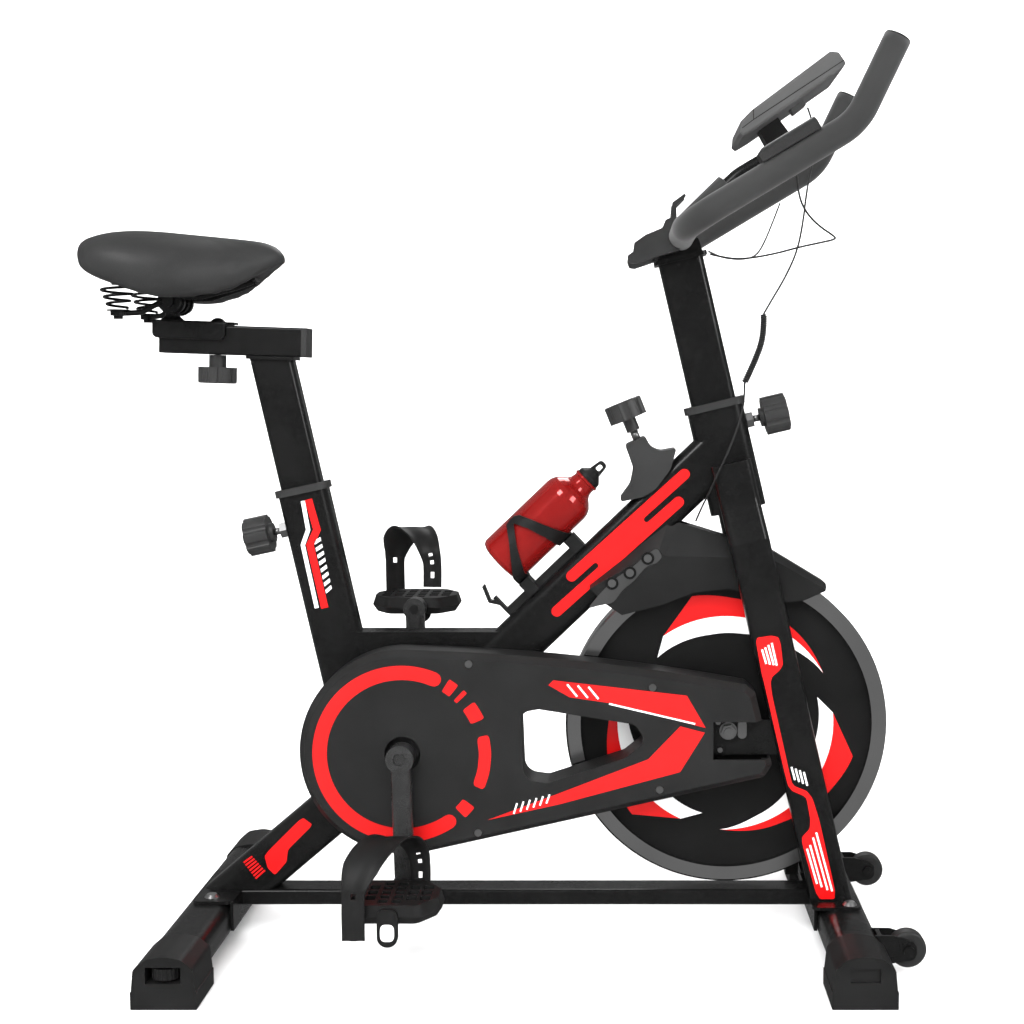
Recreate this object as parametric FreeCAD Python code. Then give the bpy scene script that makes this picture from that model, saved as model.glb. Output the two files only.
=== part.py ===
import FreeCAD, Part
import math
import os

# Indoor spin bike. Millimetres, +Z up, +X towards the handlebar, -Y is the drive side (rider's right).
# The floor is Z = 0, and the origin lies under the middle of the overall length and width.

V = FreeCAD.Vector

# ---- driving dimensions ----
BB_X = -122.0
BB_Z = 250.0
CRANK_LENGTH = 156.0
CRANK_LEAN = 1.5
CRANK_Y = 78.0
CRANK_THICK = 20.0
CRANK_AXLE_R = 8.0

WHEEL_X = 278.0
WHEEL_Z = 275.0
WHEEL_R = 202.0
RIM_INNER_R = 183.0
RIM_HALF = 20.0
DISC_HALF = 10.0
HUB_R = 28.0
WHEEL_AXLE_R = 6.0
RUNNING_FIT = 0.08

PULLEY_BIG_R = 78.0
PULLEY_SMALL_R = 24.0
BELT_Y = -36.0
BELT_WIDTH = 10.0
BELT_THICK = 4.0

TUBE_DEPTH = 40.0
TUBE_WALL = 2.0
SEAT_TUBE_W = 62.0
HEAD_TUBE_W = 70.0
SEAT_POST_W = 52.0
HEAD_POST_W = 56.0
POST_DEPTH = 30.0
SLIDE_GAP = 0.4
COLLAR_H = 9.0
HEAD_TUBE_TOP = 670.5
HEAD_TUBE_LOW = 545.0
KNOB_Z_HEAD = 648.0
KNOB_Z_SEAT = 526.5

SEAT_LEAN = 12.3
SEAT_AXIS_X = -248.7
SEAT_AXIS_Z = 555.0
SEAT_TUBE_TOP = 566.0
SEAT_POST_TOP = 731.6
RAIL_LEAN = 1.9
HEAD_LEAN = 13.4
HEAD_AXIS_X = 261.7
HEAD_AXIS_Z = 675.0

DOWN_X0 = 0.05
DOWN_Z0 = 361.6
DOWN_ANGLE = 43.77
DOWN_W = 62.0

STRUT_X0 = -227.6
STRUT_Z0 = 155.6
STRUT_ANGLE = 40.3
STRUT_W = 60.0

FORK_TOP_X = 280.0
FORK_TOP_Z = 605.0
FORK_LEAN = 13.24
FORK_W = 50.0
FORK_THICK = 24.0
FORK_Y_TOP = 33.0
FORK_Y = 48.0

RAIL_TOP = 61.5
BASE_RAIL_H = 20.0
BAR_W = 60.0
BAR_BOTTOM = 12.0
BAR_TOP = 57.5
REAR_X = -370.0
FRONT_X = 420.0
FOOT_W = 75.0
FOOT_H = 61.5
FOOT_INNER = 168.0
FOOT_OUTER = 240.0

CASTER_X = 485.0
CASTER_Z = 35.0
CASTER_R = 22.0
CASTER_Y = 143.0

GUARD_FACE = -72.0
GUARD_BEVEL = -61.0
GUARD_SEAM = -46.0
GUARD_BACK = -24.0
GUARD_WALL = 3.0

PEDAL_Y_IN = 106.0
PEDAL_Y_OUT = 200.0
PEDAL_X = 118.0
PEDAL_SHIFT = -5.0
PEDAL_H = 22.0

HORN_Y = 173.0
HORN_R = 15.5
BAR_X = 219.0
BAR_Z = 880.0

CABLE_R = 1.2
COIL_R = 4.3


# ---- small helpers ----
def save(name, shape):
    if not shape.isValid():
        print("not valid:", name)
    shape.exportStep("parts/" + name + ".step")
    print(name, round(shape.Volume), len(shape.Solids))


def group(shapes):
    return Part.makeCompound(shapes)


def box(x0, x1, y0, y1, z0, z1):
    return Part.makeBox(x1 - x0, y1 - y0, z1 - z0, V(x0, y0, z0))


def cyl(radius, start, end):
    a = V(*start)
    b = V(*end)
    return Part.makeCylinder(radius, (b - a).Length, a, b - a)


def ring(outer, inner, start, end):
    return cyl(outer, start, end).cut(cyl(inner, start, end))


def cyl_y(radius, x, z, y0, y1):
    return cyl(radius, (x, y0, z), (x, y1, z))


def upright_edges(shape):
    found = []
    for e in shape.Edges:
        ends = [v.Point for v in e.Vertexes]
        if len(ends) == 2 and abs(ends[0].x - ends[1].x) < 1e-6 and abs(ends[0].y - ends[1].y) < 1e-6:
            found.append(e)
    return found


def bar(width, depth, length, radius):
    solid = box(-width / 2, width / 2, -depth / 2, depth / 2, 0, length)
    return solid.makeFillet(radius, upright_edges(solid))


def hollow_bar(width, depth, length, radius, wall):
    outer = bar(width, depth, length, radius)
    inner = bar(width - 2 * wall, depth - 2 * wall, length, radius - wall)
    return outer.cut(inner)


def lean(shape, degrees, x, z):
    # turns the shape's own +Z towards +X by that angle, then puts its origin at x, z
    turned = shape.copy()
    turned.rotate(V(0, 0, 0), V(0, 1, 0), degrees)
    turned.translate(V(x, 0, z))
    return turned


def outline(corners, y=0.0):
    # closed wire in the XZ plane; each corner is x, z, radius
    count = len(corners)
    ends = []
    for i in range(count):
        x, z, r = corners[i]
        before = V(corners[i - 1][0], y, corners[i - 1][1])
        after = V(corners[(i + 1) % count][0], y, corners[(i + 1) % count][1])
        here = V(x, y, z)
        if r <= 0:
            ends.append((here, None, here))
            continue
        to_before = (before - here).normalize()
        to_after = (after - here).normalize()
        half = to_before.getAngle(to_after) / 2
        reach = r / math.tan(half)
        middle = (to_before + to_after).normalize()
        centre = here + middle * (r / math.sin(half))
        ends.append((here + to_before * reach, centre - middle * r, here + to_after * reach))
    edges = []
    for i in range(count):
        first, mid, last = ends[i]
        if mid is not None:
            edges.append(Part.Arc(first, mid, last).toShape())
        follow = ends[(i + 1) % count][0]
        if (follow - last).Length > 1e-4:
            edges.append(Part.LineSegment(last, follow).toShape())
    return Part.Wire(edges)


def slab(corners, y0, y1):
    return Part.Face(outline(corners, y0)).extrude(V(0, y1 - y0, 0))


def wire_slab(wire, y0, y1):
    moved = wire.copy()
    moved.translate(V(0, y0, 0))
    return Part.Face(moved).extrude(V(0, y1 - y0, 0))


def rounded_path(points, radii):
    # open wire of straight runs joined by tangent arcs
    pts = [V(*p) for p in points]
    edges = []
    start = pts[0]
    for i in range(1, len(pts) - 1):
        to_before = (pts[i - 1] - pts[i]).normalize()
        to_after = (pts[i + 1] - pts[i]).normalize()
        half = to_before.getAngle(to_after) / 2
        r = radii[i - 1]
        reach = r / math.tan(half)
        middle = (to_before + to_after).normalize()
        centre = pts[i] + middle * (r / math.sin(half))
        first = pts[i] + to_before * reach
        last = pts[i] + to_after * reach
        edges.append(Part.LineSegment(start, first).toShape())
        edges.append(Part.Arc(first, centre - middle * r, last).toShape())
        start = last
    edges.append(Part.LineSegment(start, pts[-1]).toShape())
    return Part.Wire(edges)


def round_bar(points, radii, radius):
    path = rounded_path(points, radii)
    first = V(*points[0])
    heading = V(*points[1]) - first
    profile = Part.Wire([Part.makeCircle(radius, first, heading)])
    return path.makePipeShell([profile], True, True)


def star_knob(radius, height, lobes, dent):
    # fluted hand knob standing on Z = 0
    body = Part.makeCylinder(radius, height)
    for i in range(lobes):
        a = 2 * math.pi * (i + 0.5) / lobes
        where = V(math.cos(a) * (radius + dent * 0.55), math.sin(a) * (radius + dent * 0.55), -1)
        body = body.cut(Part.makeCylinder(dent, height + 2, where))
    rim = [e for e in body.Edges if abs(e.BoundBox.ZMin - height) < 1e-6]
    try:
        return body.makeChamfer(1.5, rim)
    except Part.OCCError:
        return body


def seat_x(z):
    return SEAT_AXIS_X - (z - SEAT_AXIS_Z) * math.tan(math.radians(SEAT_LEAN))


def head_x(z):
    return HEAD_AXIS_X - (z - HEAD_AXIS_Z) * math.tan(math.radians(HEAD_LEAN))


def down_point(along, off):
    a = math.radians(DOWN_ANGLE)
    x = DOWN_X0 + along * math.cos(a) - off * math.sin(a)
    z = DOWN_Z0 + along * math.sin(a) + off * math.cos(a)
    return x, z


# ---- frame tubes ----
def seat_tube_length(z_low, z_high):
    return (z_high - z_low) / math.cos(math.radians(SEAT_LEAN))


def seat_tube_envelope():
    z0 = 205.0
    return lean(bar(SEAT_TUBE_W, TUBE_DEPTH, seat_tube_length(z0, SEAT_TUBE_TOP), 13), -SEAT_LEAN,
                seat_x(z0), z0)


def seat_tube(neighbours):
    z0 = 205.0
    tube = hollow_bar(SEAT_TUBE_W, TUBE_DEPTH, seat_tube_length(z0, SEAT_TUBE_TOP), 13, TUBE_WALL)
    tube = lean(tube, -SEAT_LEAN, seat_x(z0), z0)
    for other in neighbours:
        tube = tube.cut(other)
    pieces = sorted(tube.Solids, key=lambda s: s.Volume)
    tube = pieces[-1]
    return tube.cut(seat_pin_hole())


def seat_pin_hole():
    return lean(cyl(6.0, (0, 0, 0), (-60, 0, 0)), -SEAT_LEAN, seat_x(KNOB_Z_SEAT), KNOB_Z_SEAT)


def head_pin_hole():
    return lean(cyl(6.0, (0, 0, 0), (60, 0, 0)), -HEAD_LEAN, head_x(KNOB_Z_HEAD), KNOB_Z_HEAD)


def head_tube_length():
    return (HEAD_TUBE_TOP - HEAD_TUBE_LOW) / math.cos(math.radians(HEAD_LEAN))


def head_tube():
    tube = hollow_bar(HEAD_TUBE_W, TUBE_DEPTH, head_tube_length(), 15, 3.0)
    tube = lean(tube, -HEAD_LEAN, head_x(HEAD_TUBE_LOW), HEAD_TUBE_LOW)
    return tube.cut(head_pin_hole())


def head_tube_envelope():
    return lean(bar(HEAD_TUBE_W, TUBE_DEPTH, head_tube_length(), 15), -HEAD_LEAN, head_x(HEAD_TUBE_LOW),
                HEAD_TUBE_LOW)


def collar(tube_w, post_w, lean_deg, x, z, pin):
    # plastic sleeve: a flange over the tube's mouth and a bush inside it, bored for the post and its pin
    flange = bar(tube_w + 6, TUBE_DEPTH + 7, COLLAR_H, 15)
    bush = bar(tube_w - 6.4, TUBE_DEPTH - 6.4, 60, 13)
    bush.translate(V(0, 0, -60))
    bore = bar(post_w + 2 * SLIDE_GAP, POST_DEPTH + 2 * SLIDE_GAP, 120, 8 + SLIDE_GAP)
    bore.translate(V(0, 0, -80))
    shape = lean(flange.fuse(bush).cut(bore), lean_deg, x, z)
    return shape.cut(pin)


def bb_shell():
    return ring(24.0, CRANK_AXLE_R + RUNNING_FIT, (BB_X, -22, BB_Z), (BB_X, 34, BB_Z))


def bb_envelope():
    return cyl_y(24.0, BB_X, BB_Z, -22, 34)


def down_tube_solid(hollow):
    length = 560.0
    if hollow:
        solid = hollow_bar(DOWN_W, TUBE_DEPTH, length, 13, TUBE_WALL)
    else:
        solid = bar(DOWN_W, TUBE_DEPTH, length, 13)
    x, z = down_point(-170.0, 0)
    return lean(solid, 90 - DOWN_ANGLE, x, z)


def down_tube(neighbours, head_side):
    tube = down_tube_solid(True)
    for other in neighbours:
        tube = tube.cut(other)
    tube = tube.cut(head_side).cut(brake_bore(5.4, -140, 20))
    return sorted(tube.Solids, key=lambda s: s.Volume)[-1]


def strut_solid(hollow):
    length = 326.0
    a = math.radians(STRUT_ANGLE)
    x = STRUT_X0 - 200.0 * math.cos(a)
    z = STRUT_Z0 - 200.0 * math.sin(a)
    if hollow:
        solid = hollow_bar(STRUT_W, TUBE_DEPTH, length, 13, TUBE_WALL)
    else:
        solid = bar(STRUT_W, TUBE_DEPTH, length, 13)
    return lean(solid, 90 - STRUT_ANGLE, x, z)


def rear_strut(bb):
    # the strut with the bottom bracket shell welded to its upper end
    tube = strut_solid(True).cut(bb)
    tube = tube.cut(box(-600, 100, -60, 60, -200, RAIL_TOP))
    return sorted(tube.Solids, key=lambda s: s.Volume)[-1].fuse(bb_shell())


def top_tube(neighbours):
    tube = box(-230, 60, -17, 17, 364, 392).cut(box(-240, 70, -14.8, 14.8, 366.2, 389.8))
    for other in neighbours:
        tube = tube.cut(other)
    return sorted(tube.Solids, key=lambda s: s.Volume)[-1]


def fork_section(width, thick, radius, y, along):
    # rounded oblong across the leg, in the leg's own frame
    solid = bar(width, thick, 1, radius)
    face = [f for f in solid.Faces if abs(f.CenterOfMass.z) < 1e-6][0]
    wire = face.OuterWire.copy()
    wire.translate(V(0, y, along))
    return wire


def fork_column(stations, side, width, thick, radius, inset):
    # straight stretches between the stations, each a distance down the leg and a sideways offset
    parts = []
    for (a0, y0), (a1, y1) in zip(stations[:-1], stations[1:]):
        start = fork_section(width, thick, radius, side * y0, -max(a0, inset))
        end = fork_section(width, thick, radius, side * y1, -a1)
        parts.append(Part.makeLoft([start, end], True, True))
    return parts[0].fuse(parts[1:])


def fork_leg(side):
    # the leg starts beside the head tube, spreads outwards and runs straight down to the front foot bar
    total = (FORK_TOP_Z - 30.0) / math.cos(math.radians(FORK_LEAN))
    stations = [(0.0, FORK_Y_TOP), (48.0, FORK_Y_TOP + 1.0), (98.0, FORK_Y), (total, FORK_Y)]
    leg = fork_column(stations, side, FORK_W, FORK_THICK, 9, 0.0)
    leg = leg.cut(fork_column(stations, side, FORK_W - 5, FORK_THICK - 5, 6.5, 2.5))
    leg = lean(leg, -FORK_LEAN, FORK_TOP_X, FORK_TOP_Z)
    leg = leg.cut(box(200, 600, -90, 90, -50, RAIL_TOP))
    # welded axle plate with its adjusting slot
    y0, y1 = (46.5, 52.5) if side > 0 else (-52.5, -46.5)
    plate = slab([(258, 288, 4), (342, 288, 0), (352, 245, 0), (258, 245, 4)], y0, y1)
    slot = slab([(268, 275 + WHEEL_AXLE_R, 5.9), (290, 275 + WHEEL_AXLE_R, 5.9),
                 (290, 275 - WHEEL_AXLE_R, 5.9), (268, 275 - WHEEL_AXLE_R, 5.9)], y0 - 1, y1 + 1)
    return leg.fuse(plate).cut(slot)


def wheel_guard_tab():
    return box(361, 378, 38, 50, 62, 92)


def base_rail():
    rail = box(-336, 386, -20, 20, RAIL_TOP - BASE_RAIL_H, RAIL_TOP)
    rail = rail.makeFillet(4, [e for e in rail.Edges if abs(e.BoundBox.XLength - 722) < 1e-6])
    bore = box(-330, 380, -17.5, 17.5, RAIL_TOP - BASE_RAIL_H + 2.5, RAIL_TOP - 2.5)
    rail = rail.cut(bore)
    rear_top = box(REAR_X - 18, -336, -62, 62, BAR_TOP, RAIL_TOP)
    rear_top = rear_top.makeFillet(10, upright_edges(rear_top))
    rear_lip = box(REAR_X + 30.2, -335.8, -62, 62, 24, RAIL_TOP - 1)
    front_top = box(381, FRONT_X + 22, -84, 84, BAR_TOP, RAIL_TOP)
    front_top = front_top.makeFillet(10, upright_edges(front_top))
    front_lip = box(385.8, FRONT_X - 30.2, -62, 62, 24, RAIL_TOP - 1)
    return rail.fuse([rear_top, rear_lip, front_top, front_lip])


def foot_bar(x, y_end):
    solid = box(x - BAR_W / 2, x + BAR_W / 2, -y_end, y_end, BAR_BOTTOM, BAR_TOP)
    lengthwise = [e for e in solid.Edges if abs(e.BoundBox.YLength - 2 * y_end) < 1e-6]
    outer = solid.makeFillet(17, lengthwise)
    solid = box(x - BAR_W / 2 + 2, x + BAR_W / 2 - 2, -y_end, y_end, BAR_BOTTOM + 2, BAR_TOP - 2)
    lengthwise = [e for e in solid.Edges if abs(e.BoundBox.YLength - 2 * y_end) < 1e-6]
    inner = solid.makeFillet(15, lengthwise)
    return outer, outer.cut(inner)


def caster_bracket(side, bar_solid):
    shape = None
    for y in (130.0, 154.0):
        y0, y1 = sorted((side * y, side * (y + 3)))
        cheek = slab([(445, 22, 0), (462, 20, 6), (CASTER_X + 9, CASTER_Z - 10, 9),
                      (CASTER_X + 9, CASTER_Z + 10, 9), (466, 54, 8), (445, 54, 0)], y0, y1)
        shape = cheek if shape is None else shape.fuse(cheek)
    y0, y1 = sorted((side * 130, side * 157))
    web = box(448, 453, y0, y1, 22, 54)
    axle = cyl_y(4.0, CASTER_X, CASTER_Z, y0 - 2, y1 + 2)
    heads = [cyl_y(6.5, CASTER_X, CASTER_Z, y0 - 3, y0), cyl_y(6.5, CASTER_X, CASTER_Z, y1, y1 + 3)]
    return shape.fuse([web, axle] + heads).cut(bar_solid)


def foot_profile(x):
    half = FOOT_W / 2
    return [(x - half, 0, 1), (x + half, 0, 1), (x + half, 20, 0), (x + half - 1, 20.6, 0),
            (x + half - 3.5, 46, 8), (x + 20, 58, 14), (x, FOOT_H, 40), (x - 20, 58, 14),
            (x - half + 3.5, 46, 8), (x - half + 1, 20.6, 0), (x - half, 20, 0)]


def foot(x, side, bar_solid, with_wheel):
    y0, y1 = sorted((side * FOOT_INNER, side * FOOT_OUTER))
    cap = slab(foot_profile(x), y0, y1)
    cap = cap.cut(bar_solid)
    if with_wheel:
        p0, p1 = sorted((side * 204.5, side * 241))
        cap = cap.cut(box(x - 20, x + 20, p0, p1, 30, 49))
    else:
        p0, p1 = sorted((side * 237, side * 241))
        recess = box(x - 17, x + 17, p0, p1, 31, 47)
        cap = cap.cut(recess)
    return cap


def leveller(side):
    # knurled thumbwheel, upright axis, in the window of a rear foot
    wheel = Part.makeCylinder(17, 13, V(REAR_X, side * 222.2, 33))
    for i in range(20):
        a = 2 * math.pi * i / 20
        where = V(REAR_X + 17.6 * math.cos(a), side * 222.2 + 17.6 * math.sin(a), 32)
        wheel = wheel.cut(Part.makeCylinder(1.4, 15, where))
    hub = ring(8, 3, (REAR_X, side * 222.2, 31), (REAR_X, side * 222.2, 48))
    return wheel.cut(Part.makeCylinder(3, 20, V(REAR_X, side * 222.2, 30))).fuse(hub)


def frame_fasteners():
    parts = []
    for x, ys in ((REAR_X + 3, (-44, 44)), (FRONT_X + 8, (-72, 72))):
        for y in ys:
            parts.append(Part.makeCone(9, 6, 3.5, V(x, y, RAIL_TOP)))
    return parts


# ---- drive guard ----
def guard_wire(grow):
    top_x, top_z = 302.0, 326.0
    low_x, low_z = 325.0, 228.0
    r = 120.0
    top = V(BB_X + r * math.sin(math.radians(5.7)), 0, BB_Z + r * math.cos(math.radians(5.7)))
    low = V(BB_X + r * math.sin(math.radians(12.8)), 0, BB_Z - r * math.cos(math.radians(12.8)))
    left = V(BB_X - r, 0, BB_Z)
    end_low = V(low_x, 0, low_z)
    end_top = V(top_x, 0, top_z)
    down = (end_top - end_low).normalize()
    edges = [Part.Arc(low, left, top).toShape(),
             Part.Arc(top, V(120, 0, 353), end_top - V(6, 0, -0.9)).toShape(),
             Part.LineSegment(end_top - V(6, 0, -0.9), end_top - down * 6).toShape(),
             Part.LineSegment(end_top - down * 6, end_low + down * 8).toShape(),
             Part.LineSegment(end_low + down * 8, end_low + (low - end_low).normalize() * 8).toShape(),
             Part.LineSegment(end_low + (low - end_low).normalize() * 8, low).toShape()]
    wire = Part.Wire(edges)
    if grow:
        wire = wire.makeOffset2D(grow)
    return wire


def at_y(wire, y):
    moved = wire.copy()
    moved.translate(V(0, y, 0))
    return moved


WINDOW = [(23, 302, 12), (45, 306, 8), (163, 287, 12), (176, 266, 10), (150, 245, 16), (56, 214, 12),
          (26, 218, 18)]


def window_corners(grow):
    return [(x + (-grow if x < 50 else grow if x > 160 else 0), z + (grow if z > 260 else -grow), r + grow)
            for x, z, r in WINDOW]


def guard_notch(y0, y1):
    return box(258.5, 360, y0, y1, 243, 290)


def guard_outer():
    near = guard_wire(0)
    seam = guard_wire(8)
    shell = Part.makeLoft([at_y(near, GUARD_FACE), at_y(seam, GUARD_BEVEL)], True, True)
    shell = shell.fuse(wire_slab(seam, GUARD_BEVEL, GUARD_SEAM))
    inside = wire_slab(guard_wire(8 - GUARD_WALL), GUARD_BEVEL, GUARD_SEAM)
    inside = inside.fuse(wire_slab(guard_wire(-GUARD_WALL), GUARD_FACE + GUARD_WALL, GUARD_BEVEL))
    shell = shell.cut(inside)
    frame = slab(window_corners(GUARD_WALL), GUARD_FACE + 1, GUARD_SEAM)
    shell = shell.fuse(frame).cut(slab(window_corners(0), GUARD_FACE - 1, GUARD_SEAM + 1))
    shell = shell.cut(cyl_y(22.0, BB_X, BB_Z, GUARD_FACE - 1, GUARD_SEAM))
    return shell.cut(guard_notch(GUARD_FACE - 1, GUARD_SEAM + 1))


def guard_inner():
    seam = guard_wire(8)
    shell = wire_slab(seam, GUARD_SEAM, GUARD_BACK)
    inside = wire_slab(guard_wire(8 - GUARD_WALL), GUARD_SEAM, GUARD_BACK - GUARD_WALL)
    shell = shell.cut(inside)
    frame = slab(window_corners(GUARD_WALL), GUARD_SEAM, GUARD_BACK)
    shell = shell.fuse(frame).cut(slab(window_corners(0), GUARD_SEAM - 1, GUARD_BACK + 1))
    shell = shell.cut(cyl_y(28.0, BB_X, BB_Z, GUARD_SEAM, GUARD_BACK + 1))
    shell = shell.cut(cyl_y(30.0, WHEEL_X, WHEEL_Z, GUARD_SEAM, GUARD_BACK + 1))
    posts = [cyl_y(7, -40, 323, GUARD_BACK - 1, -20), cyl_y(7, -178, 197, GUARD_BACK - 1, -20)]
    return shell.fuse(posts)


def guard_screws():
    parts = []
    for x, z in ((184.0, 333.0), (193.0, 206.0), (-40.0, 362.0), (-30.0, 152.0)):
        head = cyl_y(4.5, x, z, GUARD_FACE - 1.2, GUARD_FACE)
        parts.append(head.cut(cyl_y(1.8, x, z, GUARD_FACE - 2, GUARD_FACE - 0.6)))
    return parts


def drive_belt():
    y0 = BELT_Y - BELT_WIDTH / 2
    y1 = BELT_Y + BELT_WIDTH / 2
    gap = WHEEL_X - BB_X
    tilt = math.atan2(WHEEL_Z - BB_Z, gap)
    dist = math.hypot(gap, WHEEL_Z - BB_Z)

    def loop(big, small):
        a = math.acos((big - small) / dist)
        def on(cx, cz, r, angle):
            return V(cx + r * math.cos(angle), y0, cz + r * math.sin(angle))
        up_big = on(BB_X, BB_Z, big, tilt + a)
        low_big = on(BB_X, BB_Z, big, tilt - a)
        back = on(BB_X, BB_Z, big, tilt + math.pi)
        up_small = on(WHEEL_X, WHEEL_Z, small, tilt + a)
        low_small = on(WHEEL_X, WHEEL_Z, small, tilt - a)
        front = on(WHEEL_X, WHEEL_Z, small, tilt)
        edges = [Part.Arc(low_big, back, up_big).toShape(), Part.LineSegment(up_big, up_small).toShape(),
                 Part.Arc(up_small, front, low_small).toShape(),
                 Part.LineSegment(low_small, low_big).toShape()]
        return Part.Face(Part.Wire(edges)).extrude(V(0, y1 - y0, 0))

    outer = loop(PULLEY_BIG_R + 0.3 + BELT_THICK, PULLEY_SMALL_R + 0.3 + BELT_THICK)
    return outer.cut(loop(PULLEY_BIG_R + 0.3, PULLEY_SMALL_R + 0.3))


# ---- wheel cover, brake, bottle cage ----
def wheel_cover(down):
    # hood over the top of the flywheel: flat cheeks, bevelled shoulders, narrow ridge
    low = [(107, 449), (193, 497), (200, 490), (330, 487), (398, 449), (399, 446), (372, 434), (348, 432)]
    high = [(107, 452), (203, 528), (219, 530), (335, 494), (401, 454), (402, 449), (376, 434), (350, 432)]
    arc = [(278, 449), (236, 444), (194, 428), (147, 416), (126, 430)]

    def wire(top, y):
        pts = [V(x, y, z) for x, z in top + arc]
        return Part.makePolygon(pts + [pts[0]])

    parts = [Part.makeLoft([wire(low, -33), wire(high, -20)], True, True),
             Part.makeLoft([wire(high, -20), wire(high, 20)], True, True),
             Part.makeLoft([wire(high, 20), wire(low, 33)], True, True)]
    hood = parts[0].fuse(parts[1:])
    hood = hood.cut(cyl_y(WHEEL_R + 8, WHEEL_X, WHEEL_Z, -30, 30))
    hood = hood.cut(hood_hollow()).cut(brake_bore(21, -180, -100))
    hood = hood.cut(down)
    return sorted(hood.Solids, key=lambda s: s.Volume)[-1]


def hood_hollow():
    return slab([(130, 433, 0), (112, 451, 0), (205, 524.8, 0), (218.6, 526.8, 0), (333.8, 491, 0),
                 (392, 457, 0),
                 (385, 445, 0), (278, 430, 0)], -17.5, 17.5)


def cover_bolts():
    parts = []
    for x, z in ((134.5, 456.0), (156.6, 469.0), (178.7, 487.0)):
        parts.append(cyl_y(5, x, z, -36, -33).fuse(cyl_y(7, x, z, -33.8, -33)))
        parts.append(cyl_y(5, x, z, 33, 36).fuse(cyl_y(7, x, z, 33, 33.8)))
    return parts


BRAKE_LEAN = -22.1
BRAKE_X = 166.0
BRAKE_Z = 632.0


def brake_point(along):
    a = math.radians(BRAKE_LEAN)
    return BRAKE_X + along * math.sin(a), BRAKE_Z + along * math.cos(a)


def brake_bore(radius, low, high):
    x, z = brake_point(low)
    return lean(Part.makeCylinder(radius, high - low), BRAKE_LEAN, x, z)


def brake_housing(down):
    body = slab([(150.6, 626.3, 4), (175.3, 637.5, 4), (183, 624, 12), (194, 618.9, 14), (214.5, 622.5, 2),
                 (207, 596, 30), (188, 571, 30), (173, 562, 10), (141, 555, 3), (157, 577, 20),
                 (161, 597, 20)], -23, 23)
    body = body.cut(down)
    body = body.cut(brake_bore(5.3, -120, 20))
    return sorted(body.Solids, key=lambda s: s.Volume)[-1]


def brake_knob():
    # star knob, collar and threaded rod down through the down tube
    x, z = brake_point(28.0)
    knob = lean(star_knob(24, 23, 6, 8), BRAKE_LEAN, x, z)
    x, z = brake_point(12.0)
    neck = lean(Part.makeCylinder(8.5, 16.2), BRAKE_LEAN, x, z)
    rod = brake_bore(5.0, -123.6, 12)
    return knob.fuse([neck, rod])


def brake_shoe():
    # friction pad in a holder, with the round boss the threaded rod pushes on
    boss = lean(Part.makeCylinder(8, 6), BRAKE_LEAN, *brake_point(-130.0))
    holder = lean(bar(28, 22, 20, 3), BRAKE_LEAN, *brake_point(-149.5))
    pad = lean(bar(30, 24, 26, 2), BRAKE_LEAN, *brake_point(-174.0))
    pad = pad.cut(cyl_y(WHEEL_R + 4.5, WHEEL_X, WHEEL_Z, -40, 40))
    return holder.fuse([boss, pad])


BOTTLE_OFF = 88.0
BOTTLE_BASE = 76.5


def on_bottle_axis(shape, along):
    x, z = down_point(along, BOTTLE_OFF)
    return lean(shape, 90 - DOWN_ANGLE, x, z)


def turned(profile):
    # solid of revolution about Z from radius, height pairs
    pts = [V(r, 0, h) for r, h in profile]
    face = Part.Face(Part.makePolygon(pts + [pts[0]]))
    return face.revolve(V(0, 0, 0), V(0, 0, 1), 360)


def bottle():
    body = turned([(0, 0), (27, 0), (31, 2), (33, 6), (33, 114), (32, 120), (29, 126), (24, 131), (19, 135),
                   (16.5, 139), (15.5, 144), (15.5, 147), (17, 148), (17, 151), (12, 151), (12, 140),
                   (17, 133), (27, 124), (31.4, 112), (31.4, 7), (26, 1.6), (0, 1.6)])
    return on_bottle_axis(body, BOTTLE_BASE)


def bottle_cap():
    skirt = turned([(0, 0.4), (15.6, 0.4), (15.6, 3.6), (15, 6), (10, 11), (6, 15), (0, 16)])
    skirt.translate(V(0, 0, 151))
    plug = Part.makeCylinder(11.6, 8, V(0, 0, 143.6))
    loop = slab([(-8, 0, 2), (8, 0, 2), (5.5, 18, 5), (-5.5, 18, 5)], -4, 4)
    eye = slab([(-3.2, 5, 2), (3.2, 5, 2), (2.6, 13, 2), (-2.6, 13, 2)], -5, 5)
    loop = loop.cut(eye)
    loop.translate(V(0, 0, 163))
    return on_bottle_axis(skirt.fuse([plug, loop]), BOTTLE_BASE)


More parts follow.
